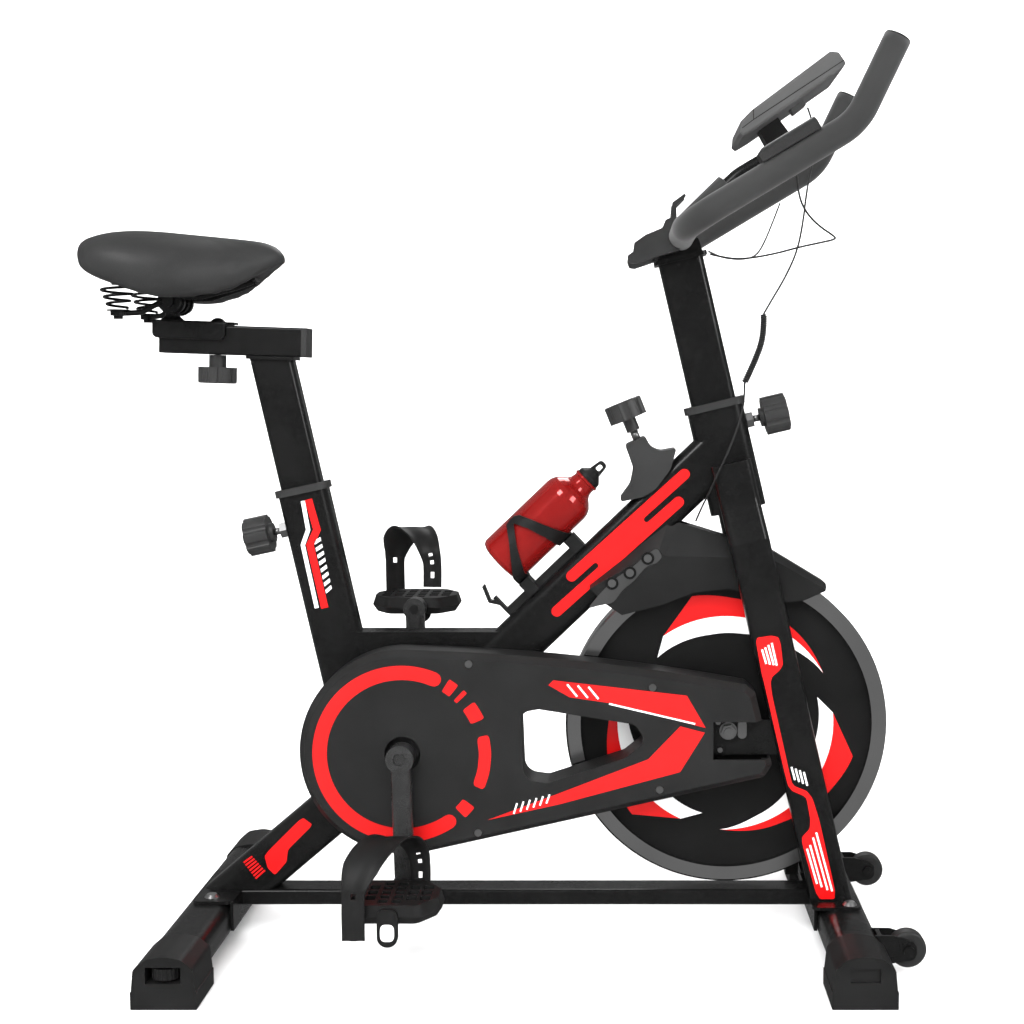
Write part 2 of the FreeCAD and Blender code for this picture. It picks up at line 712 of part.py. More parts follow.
def bottle_cage():
    # a strip on the down tube, two V-shaped arms round the bottle, a stop under its base
    shell = ring(36.8, 33.6, (0, 0, -10), (0, 0, 160))
    arms = None
    for side in (-1, 1):
        y0, y1 = sorted((0, side * 40))
        legs = slab([(38, -2, 0), (38, 16, 0), (30, 15, 0), (-1.4, 33, 0), (-24, 48.5, 0), (-29, 56, 0),
                     (-31.5, 50, 0),
                     (-30, 41, 0), (-11.3, 29, 0), (24.6, 0.5, 0)], y0, y1)
        legs = legs.fuse(slab([(38, 69, 0), (38, 91, 0), (14.5, 81, 0), (-11.4, 69.6, 0), (-27, 61, 0),
                               (-31, 54, 0),
                               (-30, 47, 0), (-24, 49.5, 0), (-8.9, 58, 0), (14.8, 65.6, 0)], y0, y1))
        strip = shell.common(legs)
        arms = strip if arms is None else arms.fuse(strip)
    arms = on_bottle_axis(arms, BOTTLE_BASE)
    strip = box(31.2, 41, -9, 9, -34, 90)
    roots = [box(31.2, 52, -14, 14, -2, 14), box(31.2, 52, -14, 14, 76, 92)]
    stop = box(31.2, 62, -7, 7, -38, -34)
    stop = stop.fuse(slab([(50, -38, 0), (62, -46, 0), (82, -38, 0), (82, -34, 0), (62, -42, 0),
                           (50, -34, 0)],
                          -7, 7))
    base = strip.fuse(roots + [stop])
    base.rotate(V(0, 0, 0), V(0, 0, 1), 180)
    base = strip_frame(base)
    clear = on_bottle_axis(Part.makeCylinder(33.6, 200, V(0, 0, -4)), BOTTLE_BASE)
    return arms.fuse(base.cut(clear))


def strip_frame(shape):
    # from the cage's own frame (x towards the tube, z along it) to the bike's
    x, z = down_point(BOTTLE_BASE, 0)
    return lean(shape, 90 - DOWN_ANGLE, x, z)


# ---- flywheel and cranks ----
def flywheel():
    disc = ring(RIM_INNER_R, HUB_R - 1, (WHEEL_X, -DISC_HALF, WHEEL_Z), (WHEEL_X, DISC_HALF, WHEEL_Z))
    hub = cyl_y(HUB_R, WHEEL_X, WHEEL_Z, -23.5, 25)
    pulley = cyl_y(PULLEY_SMALL_R, WHEEL_X, WHEEL_Z, BELT_Y - 5, -23)
    bore = cyl_y(WHEEL_AXLE_R + RUNNING_FIT, WHEEL_X, WHEEL_Z, -60, 60)
    return disc.fuse([hub, pulley]).cut(bore)


def flywheel_rim():
    tyre = ring(WHEEL_R, RIM_INNER_R, (WHEEL_X, -RIM_HALF, WHEEL_Z), (WHEEL_X, RIM_HALF, WHEEL_Z))
    edges = [e for e in tyre.Edges
             if abs(e.BoundBox.XLength - 2 * WHEEL_R) < 0.5 and e.BoundBox.YLength < 1e-3]
    return tyre.makeChamfer(2.5, edges)


def flywheel_axle():
    parts = [cyl_y(WHEEL_AXLE_R - 0.02, WHEEL_X, WHEEL_Z, -66, 66)]
    for side in (-1, 1):
        nut = Part.Face(Part.makePolygon([V(WHEEL_X + 9.5 * math.cos(math.radians(a)), 0,
                                            WHEEL_Z + 9.5 * math.sin(math.radians(a)))
                                          for a in range(10, 371, 60)]))
        y0, y1 = sorted((side * 54.1, side * 61.5))
        nut.translate(V(0, y0, 0))
        nut = nut.extrude(V(0, y1 - y0, 0)).cut(cyl_y(WHEEL_AXLE_R, WHEEL_X, WHEEL_Z, -70, 70))
        w0, w1 = sorted((side * 52.6, side * 54.1))
        parts.append(nut.fuse(ring(11, WHEEL_AXLE_R, (WHEEL_X, w0, WHEEL_Z), (WHEEL_X, w1, WHEEL_Z))))
    # chain-tension cheek and the two plate bolts on the drive side
    parts.append(slab([(289.5, 288, 5), (300.5, 288, 5), (300.5, 266, 5), (289.5, 266, 5)], -57, -52.6))
    for x, z in ((265.5, 286.0), (268.0, 251.0)):
        parts.append(cyl_y(3.2, x, z, -55.5, -52.6))
    return parts


def crank_axle():
    return cyl_y(CRANK_AXLE_R - 0.02, BB_X, BB_Z, -96, 96)


def drive_pulley():
    wheel = ring(PULLEY_BIG_R, CRANK_AXLE_R, (BB_X, BELT_Y - 4, BB_Z), (BB_X, BELT_Y + 4, BB_Z))
    hub = ring(18, CRANK_AXLE_R, (BB_X, -44, BB_Z), (BB_X, -27, BB_Z))
    for i in range(5):
        a = 2 * math.pi * i / 5
        wheel = wheel.cut(cyl_y(16, BB_X + 46 * math.cos(a), BB_Z + 46 * math.sin(a), -60, 0))
    return wheel.fuse(hub)


def crank(side):
    # side -1 points down, side 1 points up; both share the axle
    y0 = CRANK_Y
    body = bar(25, CRANK_THICK, CRANK_LENGTH, 8)
    big = cyl(17, (0, -CRANK_THICK / 2 - 1, 0), (0, CRANK_THICK / 2 + 1, 0))
    small = cyl(14.5, (0, -CRANK_THICK / 2, CRANK_LENGTH), (0, CRANK_THICK / 2, CRANK_LENGTH))
    arm = body.fuse([big, small])
    arm = arm.cut(cyl(CRANK_AXLE_R, (0, -40, 0), (0, 40, 0)))
    arm = arm.cut(cyl(6.0 + RUNNING_FIT, (0, -40, CRANK_LENGTH), (0, 40, CRANK_LENGTH)))
    turn = -CRANK_LEAN if side > 0 else 180 - CRANK_LEAN
    arm = lean(arm, turn, BB_X, BB_Z)
    arm.translate(V(0, side * (y0 + CRANK_THICK / 2), 0))
    return arm


def pedal_centre(side):
    a = math.radians(CRANK_LEAN)
    return BB_X - side * CRANK_LENGTH * math.sin(a), BB_Z + side * CRANK_LENGTH * math.cos(a)


def pedal(side):
    axle_x, cz = pedal_centre(side)
    cx = axle_x + PEDAL_SHIFT
    half = PEDAL_X / 2
    ym = (PEDAL_Y_IN + PEDAL_Y_OUT) / 2
    deep = (PEDAL_Y_OUT - PEDAL_Y_IN) / 2
    corners = [(-half, -16, 10), (-half + 22, -deep, 14), (half - 22, -deep, 14), (half, -16, 10),
               (half, 16, 10), (half - 22, deep, 14), (-half + 22, deep, 14), (-half, 16, 10)]
    flat = outline([(x, y, r) for x, y, r in corners])
    flat.rotate(V(0, 0, 0), V(1, 0, 0), 90)
    low = flat.copy()
    low.scale(0.9)
    low.translate(V(0, 0, -PEDAL_H / 2))
    mid = flat.copy()
    mid.translate(V(0, 0, -2))
    top = flat.copy()
    top.scale(0.93)
    top.translate(V(0, 0, PEDAL_H / 2))
    body = Part.makeLoft([low, mid, top], True, True)
    # tread pockets
    for x in (-40, -24, 24, 40):
        for y in (-18, 0, 18):
            pocket = box(x - 6, x + 6, y - 6.5, y + 6.5, PEDAL_H / 2 - 5, PEDAL_H / 2 + 1)
            body = body.cut(pocket)
    for x in (-8, 8):
        for y in (-30, -15, 0, 15, 30):
            body = body.cut(box(x - 5.5, x + 5.5, y - 5, y + 5, PEDAL_H / 2 - 4, PEDAL_H / 2 + 1))
    body.translate(V(cx, side * ym, cz))
    spindle = cyl_y(6.0 - 0.02, axle_x, cz, *sorted((side * (CRANK_Y - 1), side * (PEDAL_Y_IN + 2))))
    collar_ring = cyl_y(10.0, axle_x, cz, *sorted((side * (PEDAL_Y_IN - 7), side * (PEDAL_Y_IN + 2))))
    # hanging weight with a plain pale face, which keeps the strap side up
    y_out = PEDAL_Y_OUT - 3
    w0, w1 = sorted((side * y_out, side * (y_out + 7)))
    weight = slab([(cx - 12, cz + 8, 8), (cx + 12, cz + 8, 8), (cx + 12, cz - 36, 11.9),
                   (cx - 12, cz - 36, 11.9)],
                  w0, w1)
    return body.fuse([spindle, collar_ring, weight])


def strap_points(side):
    # centre line of the toe strap, from the outer tab over the foot to the inner tab: x, y, z, half width
    axle_x, cz = pedal_centre(side)
    cx = axle_x + PEDAL_SHIFT
    out_x = -38.0
    in_x = 26.0
    y_out = PEDAL_Y_OUT + 3.5
    y_in = PEDAL_Y_IN - 1.8
    rows = [(0.0, -14, y_out + 5, 13), (0.0, 34, y_out + 3, 13), (0.02, 48, y_out + 1, 15),
            (0.10, 66, y_out - 10, 21), (0.25, 80, y_out - 26, 22), (0.45, 88, y_out - 45, 22),
            (0.65, 87, y_out - 62, 20), (0.82, 78, y_out - 80, 17), (0.94, 62, y_in + 5, 14),
            (1.0, 44, y_in + 2.6, 12), (1.0, 13, y_in + 2.2, 12)]
    return [(cx + out_x + f * (in_x - out_x), side * y, cz + z, h) for f, z, y, h in rows]


def pedal_strap(side):
    rows = strap_points(side)
    wires = []
    count = len(rows)
    for i in range(count):
        x, y, z, half = rows[i]
        a = V(*rows[max(i - 1, 0)][:3])
        b = V(*rows[min(i + 1, count - 1)][:3])
        along = (b - a).normalize()
        across = V(1, 0, 0)
        face_dir = along.cross(across).normalize()
        across = face_dir.cross(along).normalize()
        here = V(x, y, z)
        t = 1.1
        pts = [here + across * half + face_dir * t, here - across * half + face_dir * t,
               here - across * half - face_dir * t, here + across * half - face_dir * t]
        wires.append(Part.makePolygon(pts + [pts[0]]))
    band = Part.makeLoft(wires, True, True)
    # adjusting slots in the inner tab
    x, y, z, half = rows[-1]
    for lift in (14, 23, 32):
        slot = box(x - 8, x + 8, y - 8, y + 8, z + lift - 2, z + lift + 2)
        band = band.cut(slot)
    # pin that holds the outer tab to the pedal
    cz = pedal_centre(side)[1]
    x0, y0, z0 = rows[0][:3]
    e0, e1 = sorted((side * (PEDAL_Y_OUT - 8), y0))
    pin_out = box(x0 - 6, x0 + 6, e0, e1, cz - 3, cz + 3)
    return band.fuse(pin_out).cut(pedal(side))


# ---- seat ----
def seat_post():
    z_low = 430.0
    length = (SEAT_POST_TOP - z_low) / math.cos(math.radians(SEAT_LEAN))
    post = lean(hollow_bar(SEAT_POST_W, POST_DEPTH, length + 8, 8, TUBE_WALL), -SEAT_LEAN, seat_x(z_low),
                z_low)
    cut_above = box(-200, 200, -60, 60, 0, 60)
    cut_above.rotate(V(0, 0, 0), V(0, 1, 0), RAIL_LEAN)
    cut_above.translate(V(seat_x(SEAT_POST_TOP), 0, SEAT_POST_TOP))
    post = post.cut(cut_above)
    parts = []
    plate = box(-29, 30, -19, 19, 0, 4)
    rail = box(-136, 38.5, -19, 19, 4, 40)
    rail = rail.makeFillet(3, [e for e in rail.Edges if abs(e.BoundBox.XLength - 174.5) < 1e-6])
    rail = rail.cut(box(-140, 40, -16.5, 16.5, 6.5, 37.5))
    slot = box(-121, -31, -5, 5, -2, 60)
    rail = rail.cut(slot)
    for piece in (plate, rail):
        piece.rotate(V(0, 0, 0), V(0, 1, 0), RAIL_LEAN)
        piece.translate(V(seat_x(SEAT_POST_TOP), 0, SEAT_POST_TOP))
        parts.append(piece)
    return post.fuse(parts)


def seat_frame(shape):
    # from the seat rail's own frame (origin on the post axis, under the rail) to the bike's
    return lean(shape, RAIL_LEAN, seat_x(SEAT_POST_TOP), SEAT_POST_TOP)


def rail_end_plug():
    cap = box(38.5, 45, -19, 19, 4, 40)
    tongue = box(30, 38.5, -16.4, 16.4, 6.6, 37.4)
    return seat_frame(cap.fuse(tongue))


SLIDE_BOLT_X = -68.5
CLAMP_X = -121.0
CLAMP_Z = 66.5
CLAMP_R = 14.0
SPRING_X = -459.0
SPRING_Y = 57.0
SPRING_Z = 792.6
SPRING_H = 25.0
SPRING_TURNS = 3
SPRING_R_LOW = 11.0
SPRING_R_TOP = 20.0
SPRING_WIRE_R = 1.7


def seat_slider():
    channel = box(-143, -54, -24, 24, 22, 44.4)
    channel = channel.makeFillet(3, [e for e in channel.Edges if abs(e.BoundBox.XLength - 89) < 1e-6
                                     and e.BoundBox.ZMin > 44])
    corners = [e for e in channel.Edges if e.BoundBox.ZLength < 1e-6 and abs(e.BoundBox.YLength - 48) < 1e-6
               and e.BoundBox.ZMax < 23]
    channel = channel.makeFillet(7, corners)
    channel = channel.cut(box(-150, -50, -19.5, 19.5, 0, 40.4))
    lip = box(-56, -46, -10, 10, 41.2, 44.4)
    bolt_head = Part.makeSphere(11, V(SLIDE_BOLT_X, 0, 38.6)).cut(box(-100, 0, -30, 30, -20, 44.4))
    bolt = cyl(4.0, (SLIDE_BOLT_X, 0, -6.5), (SLIDE_BOLT_X, 0, 45))
    stem = Part.makeCylinder(9, 26, V(CLAMP_X - 4, 0, 44))
    flare = Part.makeCone(15, 9.5, 5, V(CLAMP_X - 4, 0, 44.4))
    saddle_seat = cyl(CLAMP_R + 0.3, (CLAMP_X, -40, CLAMP_Z), (CLAMP_X, 40, CLAMP_Z))
    pin = cyl(5.0, (CLAMP_X, -15, CLAMP_Z), (CLAMP_X, 15, CLAMP_Z))
    stem = stem.fuse(flare).cut(saddle_seat)
    tongue = box(CLAMP_X - 9, CLAMP_X + 4, -5.5, 5.5, 44.4, CLAMP_Z - 4)
    eye = cyl(9.0, (CLAMP_X, -5.5, CLAMP_Z), (CLAMP_X, 5.5, CLAMP_Z))
    return seat_frame(channel.fuse([lip, bolt_head, bolt, stem, tongue, eye, pin]))


def slider_knob():
    body = star_knob(23.5, 20, 8, 5)
    body.rotate(V(0, 0, 0), V(1, 0, 0), 180)
    body.translate(V(SLIDE_BOLT_X, 0, -11.5))
    neck = Part.makeCylinder(10.5, 15.1, V(SLIDE_BOLT_X, 0, -11.5))
    bore = Part.makeCylinder(4.06, 16, V(SLIDE_BOLT_X, 0, -12))
    return seat_frame(body.fuse(neck).cut(bore))


def saddle_section(x, half, top, low, inner, mid):
    # closed curve across the saddle at one station
    pts = [V(x, 0, top), V(x, half * 0.55, top - 1 - (top - mid) * 0.10),
           V(x, half * 0.9, mid + (top - mid) * 0.45),
           V(x, half, mid), V(x, half * 0.9, low + 1), V(x, half * 0.8, low + 0.5),
           V(x, half * 0.6, inner - 1), V(x, half * 0.3, inner), V(x, 0, inner)]
    left = [V(p.x, -p.y, p.z) for p in reversed(pts[1:-1])]
    curve = Part.BSplineCurve()
    curve.interpolate(Points=pts + left, PeriodicFlag=True)
    return Part.Wire([curve.toShape()])


# station, half width, top, lowest edge of the skirt, middle of the underside, height of the widest line
SADDLE_ROWS = [(-507, 50, 867, 846, 848, 858), (-500, 74, 878, 839, 843, 860),
               (-482, 93, 884, 829, 835, 856),
               (-450, 102, 887, 817, 827, 850), (-415, 100, 886, 806, 824, 845),
               (-380, 90, 882.5, 803, 823, 842),
               (-350, 68, 880, 807, 823, 841), (-320, 44, 878, 817, 829, 845),
               (-292, 28, 875, 836, 839, 853),
               (-278, 19, 869, 846, 847, 857), (-270, 10, 860, 850, 850.5, 855)]


def saddle_cushion():
    wires = [saddle_section(*row) for row in SADDLE_ROWS]
    return Part.makeLoft(wires, True, False)


def clamp_centre():
    a = math.radians(RAIL_LEAN)
    x = seat_x(SEAT_POST_TOP) + CLAMP_X * math.cos(a) + CLAMP_Z * math.sin(a)
    z = SEAT_POST_TOP - CLAMP_X * math.sin(a) + CLAMP_Z * math.cos(a)
    return x, z


def saddle_frame():
    # clamp discs on the pivot and the two bent rails, with the spring plates at the back
    cx, cz = clamp_centre()
    parts = []
    for side in (-1, 1):
        parts.append(ring(CLAMP_R, 5.3, (cx, side * 6.0, cz), (cx, side * 30, cz)))
        disc = ring(CLAMP_R + 2, 5.3, (cx, side * 16, cz), (cx, side * 19, cz))
        parts.append(disc)
        parts.append(cyl_y(7, cx, cz, *sorted((side * 30, side * 35))))
        rail = round_bar([(-459, side * 57, 786), (-436, side * 42, 788), (cx, side * 25, cz + 5),
                          (-368, side * 22, 808), (-330, side * 12, 819), (-308, side * 8, 827)],
                         [12, 20, 20, 20], 3.4)
        parts.append(rail)
        parts.append(Part.makeCylinder(9, 6.5, V(SPRING_X, side * SPRING_Y, 783.5)))
        parts.append(Part.makeCylinder(13.5, 1.5, V(SPRING_X, side * SPRING_Y, 789.2)))
        parts.append(Part.makeCylinder(5.5, 4.5, V(SPRING_X, side * SPRING_Y, 779.5)))
        parts.append(Part.makeCylinder(7, 6, V(SPRING_X, side * SPRING_Y, 820)))
    whole = parts[0].fuse(parts[1:])
    pan = saddle_pan()
    return whole.fuse(pan)


def saddle_pan():
    # thin plate under the cushion that the rails and springs are fixed to
    plate = slab([(-486, 833, 0), (-440, 824, 0), (-380, 821.5, 0), (-345, 821.5, 0), (-304, 832, 0),
                  (-304, 829, 0), (-345, 818.5, 0), (-380, 818.5, 0), (-440, 821, 0),
                   (-486, 830, 0)], -14, 14)
    wings = slab([(-484, 832.6, 0), (-436, 824, 0), (-436, 821, 0), (-484, 829.6, 0)], -60, 60)
    return plate.fuse(wings)


def saddle_springs():
    # conical coil springs, narrow end down
    parts = []
    for side in (-1, 1):
        points = []
        for i in range(SPRING_TURNS * 12 + 1):
            f = i / (SPRING_TURNS * 12)
            r = SPRING_R_LOW + f * (SPRING_R_TOP - SPRING_R_LOW)
            a = 2 * math.pi * SPRING_TURNS * f
            points.append(V(r * math.cos(a), r * math.sin(a), SPRING_H * f))
        curve = Part.BSplineCurve()
        curve.interpolate(Points=points)
        path = Part.Wire([curve.toShape()])
        heading = curve.tangent(curve.FirstParameter)[0]
        wire = Part.Wire([Part.makeCircle(SPRING_WIRE_R, points[0], heading)])
        coil = path.makePipeShell([wire], True, True)
        coil.translate(V(SPRING_X, side * SPRING_Y, SPRING_Z))
        parts.append(coil)
    return parts


# ---- handlebar ----
def head_frame(shape, z):
    return lean(shape, -HEAD_LEAN, head_x(z), z)


HEAD_POST_TOP = 853.0


def handlebar_post():
    z_low = 566.0
    length = (HEAD_POST_TOP - z_low) / math.cos(math.radians(HEAD_LEAN))
    post = head_frame(hollow_bar(HEAD_POST_W, POST_DEPTH, length, 9, TUBE_WALL), z_low)
    plate = head_frame(bar(66, 44, 5, 6), HEAD_POST_TOP)
    gusset = slab([(190, 851, 0), (246, 863, 0), (240, 880, 0), (200, 876, 0)], -16, 16)
    gusset = gusset.cut(cyl_y(HORN_R, BAR_X, BAR_Z, -40, 40))
    return post.fuse([plate, gusset])


def horn_path(side):
    y = side * HORN_Y
    return [(BAR_X, 0, BAR_Z), (BAR_X, y, BAR_Z), (407.3, y, 991.9), (452, y, 1086)]


def handlebar():
    # foam-covered bars: a cross piece, two long horns and an inner loop that carries the console
    whole = None
    for side in (-1, 1):
        horn = round_bar(horn_path(side), [44, 70], HORN_R)
        whole = horn if whole is None else whole.fuse(horn)
    loop = round_bar([(219, -58, 888), (286, -58, 950), (346, -58, 984), (346, 58, 984), (286, 58, 950),
                      (219, 58, 888)], [60, 30, 30, 60], 9.0)
    whole = whole.fuse(loop)
    for side in (-1, 1):
        grip = cyl(13.5, (219, side * 58, 888), (271, side * 58, 938.5))
        whole = whole.fuse(grip)
    return whole


def pulse_pads():
    # contact pads on the upper side of both horns
    parts = []
    for side in (-1, 1):
        y = side * HORN_Y
        pad = round_bar([(302, y, 946.5), (366, y, 985)], [], 15.0)
        band = slab([(284, 936, 0), (304, 968, 14), (352, 1000, 14), (380, 992, 0)], y - 12, y + 12)
        pad = pad.common(band).cut(cyl(HORN_R, (BAR_X, y, BAR_Z), (407.3, y, 991.9)))
        parts.append(pad)
    return parts


CONSOLE = [(286.8, 1012, 5), (300, 1025.3, 5), (393, 1094, 6), (403, 1092.5, 3), (411.7, 1080, 3),
           (408, 1074, 3),
           (307, 1004.5, 6), (290.5, 994.6, 3), (285.5, 998.5, 2)]
CONSOLE_LEAN = 36.0


def console_button_axis():
    # centre of the button on the sloping face
    return 330.0, 1047.9


def console_hole(radius, depth, out):
    x, z = console_button_axis()
    a = math.radians(CONSOLE_LEAN)
    nx, nz = -math.sin(a), math.cos(a)
    return cyl(radius, (x - nx * depth, 0, z - nz * depth), (x + nx * out, 0, z + nz * out))


def console():
    body = slab(CONSOLE, -62, 62)
    edges = [e for e in body.Edges if e.BoundBox.YLength < 1e-6 and e.Length > 30]
    try:
        body = body.makeFillet(4, edges)
    except Part.OCCError:
        print("console keeps its sharp long edges")
    body = body.cut(console_hole(8.4, 9, 20))
    socket = slab([(350, 1040, 0), (364, 1050, 0), (372, 1041, 2), (356, 1029, 2)], -9, 9)
    socket = socket.cut(body)
    return body.fuse(socket)


def console_button():
    return console_hole(8.0, 7, 2.6)


def console_bracket():
    # bent bracket from the back of the console down to the inner loop
    arm = slab([(312, 1013, 0), (333, 1029, 0), (355, 1001, 5), (346, 984, 0), (338, 982, 5),
                (326, 988, 4)], -14, 14)
    arm = arm.cut(slab(CONSOLE, -70, 70))
    clip_ring = cyl_y(12.0, 346, 984, -16, 16)
    arm = arm.fuse(clip_ring).cut(cyl_y(9.0, 346, 984, -30, 30))
    boss = slab([(350, 992, 0), (362, 1000, 3), (368, 988, 3), (356, 981, 0)], -8, 8)
    boss = boss.cut(cyl_y(9.0, 346, 984, -30, 30))
    return arm.fuse(boss)


def head_cover():
    # moulded tray over the clamp, reaching back towards the rider, with a prop for a telephone
    body = slab([(152.9, 855.8, 3), (156, 847, 3), (163, 846, 3), (193, 856, 0), (215, 862, 0),
                 (219, 872, 0),
                 (219, 896, 8), (208.8, 903, 5), (199.1, 899, 4), (195.4, 889.5, 5), (174.8, 881, 4),
                 (161.4, 871.5, 3), (160, 861, 0)], -42, 42)
    body = body.cut(cyl_y(HORN_R + 0.2, BAR_X, BAR_Z, -60, 60))
    groove = box(150, 196, -36, 36, 874, 900)
    post_hole = head_frame(bar(66.4, 44.4, 40, 6), HEAD_POST_TOP - 4)
    body = body.cut(groove).cut(post_hole)
    gusset_hole = box(184, 262, -16.3, 16.3, 846, 895)
    loops = [cyl(13.7, (219, s * 58, 888), (271, s * 58, 938.5)) for s in (-1, 1)]
    for other in [gusset_hole] + loops:
        body = body.cut(other)
    return sorted(body.Solids, key=lambda s: s.Volume)[-1]


def phone_prop():
    arm = slab([(206, 897, 0), (214, 897, 0), (213, 918, 3), (225, 930, 1), (223, 933, 1),
                (208, 922, 3)], -20, -14)
    other = slab([(206, 897, 0), (214, 897, 0), (213, 918, 3), (225, 930, 1), (223, 933, 1),
                  (208, 922, 3)], 14, 20)
    link = box(207.5, 212.5, -20, 20, 904, 909)
    return arm.fuse([other, link])


# ---- knobs with sprung pins ----
def pin_knob(side, tube_half, post_clear):
    # local frame: +X outwards from the post axis; nut on the tube, shaft, fluted grip
    grip = star_knob(24, 30, 8, 5)
    grip.rotate(V(0, 0, 0), V(0, 1, 0), 90)
    grip.translate(V(tube_half + 22, 0, 0))
    neck = cyl(12, (tube_half + 17, 0, 0), (tube_half + 23, 0, 0))
    shaft = cyl(4.2, (post_clear, 0, 0), (tube_half + 20, 0, 0))
    shape = grip.fuse([neck, shaft])
    if side < 0:
        shape.rotate(V(0, 0, 0), V(0, 0, 1), 180)
    return shape


def pin_nut(side, tube_half):
    points = [V(0, 10.5 * math.cos(math.radians(a)),
                10.5 * math.sin(math.radians(a))) for a in range(0, 361, 60)]
    nut = Part.Face(Part.makePolygon(points)).extrude(V(8.5, 0, 0))
    nut.translate(V(tube_half, 0, 0))
    nut = nut.cut(cyl(4.6, (tube_half - 5, 0, 0), (tube_half + 15, 0, 0)))
    if side < 0:
        nut.rotate(V(0, 0, 0), V(0, 0, 1), 180)
    return nut


def seat_post_knob():
    return lean(pin_knob(-1, SEAT_TUBE_W / 2, SEAT_POST_W / 2 + 1.0), -SEAT_LEAN, seat_x(KNOB_Z_SEAT),
                KNOB_Z_SEAT)


def handlebar_post_knob():
    return lean(pin_knob(1, HEAD_TUBE_W / 2, HEAD_POST_W / 2 + 1.0), -HEAD_LEAN, head_x(KNOB_Z_HEAD),
                KNOB_Z_HEAD)


def pin_nuts():
    return [lean(pin_nut(-1, SEAT_TUBE_W / 2), -SEAT_LEAN, seat_x(KNOB_Z_SEAT), KNOB_Z_SEAT),
            lean(pin_nut(1, HEAD_TUBE_W / 2), -HEAD_LEAN, head_x(KNOB_Z_HEAD), KNOB_Z_HEAD)]


def caster(side):
    y0, y1 = sorted((side * 133.5, side * 153.5))
    wheel = cyl_y(CASTER_R, CASTER_X, CASTER_Z, y0, y1)
    rims = [e for e in wheel.Edges
            if abs(e.BoundBox.XLength - 2 * CASTER_R) < 0.2 and e.BoundBox.YLength < 1e-3]
    wheel = wheel.makeFillet(4, rims)
    return wheel.cut(cyl_y(4.0 + RUNNING_FIT, CASTER_X, CASTER_Z, y0 - 1, y1 + 1))


# ---- cables ----
def arc_radii(points):
    # each bend takes 0.45 of its shorter run
    pts = [V(*p) for p in points]
    radii = []
    for i in range(1, len(pts) - 1):
        before = pts[i] - pts[i - 1]
        after = pts[i + 1] - pts[i]
        turn = before.getAngle(after)
        radii.append(0.45 * min(before.Length, after.Length) / math.tan(turn / 2))
    return radii


def cable(name, points, radius):
    radii = arc_radii(points)
    path = rounded_path(points, radii)
    tube = round_bar(points, radii, radius)
    expected = math.pi * radius ** 2 * path.Length
    print(name, "length", round(path.Length, 1), "radii", [round(r, 1) for r in radii],
          "volume ratio", round(tube.Volume / expected, 3))
    return tube


# ---- cable routes: corner points x, y, z ----
SENSOR_UPPER = [(373.6, -5, 1038), (380, -11, 1018), (383, -24, 990), (374, -36, 958), (368, -44, 928),
                (364, -50, 895),
                (357, -52, 860), (343, -50, 829), (327, -48, 802), (318, -46, 786)]
SENSOR_COIL = [(318, -46, 786), (319, -45, 761), (309, -44, 731), (296, -42, 703)]
SENSOR_LOWER = [(296, -42, 703), (296, -41, 682), (291, -43, 658), (282, -47, 634), (273, -50.5, 613),
                (263, -51, 592), (253, -49, 569), (244, -41, 550), (238, -31, 533)]
PULSE_RIGHT = [(341, -173, 933), (343, -170, 912), (354, -160, 893), (371, -145, 880), (390, -129, 871),
               (393, -121, 868), (374, -106, 865), (355, -90, 862), (328, -66, 856), (296, -44, 852),
               (275, -28, 854), (255, -15, 860)]
PULSE_LEFT = [(360.6, 173, 944), (349, 165, 914), (334, 145, 882), (322, 120, 868), (302, 90, 862),
              (280, 56, 861), (268, 34, 862), (255, 15, 866)]


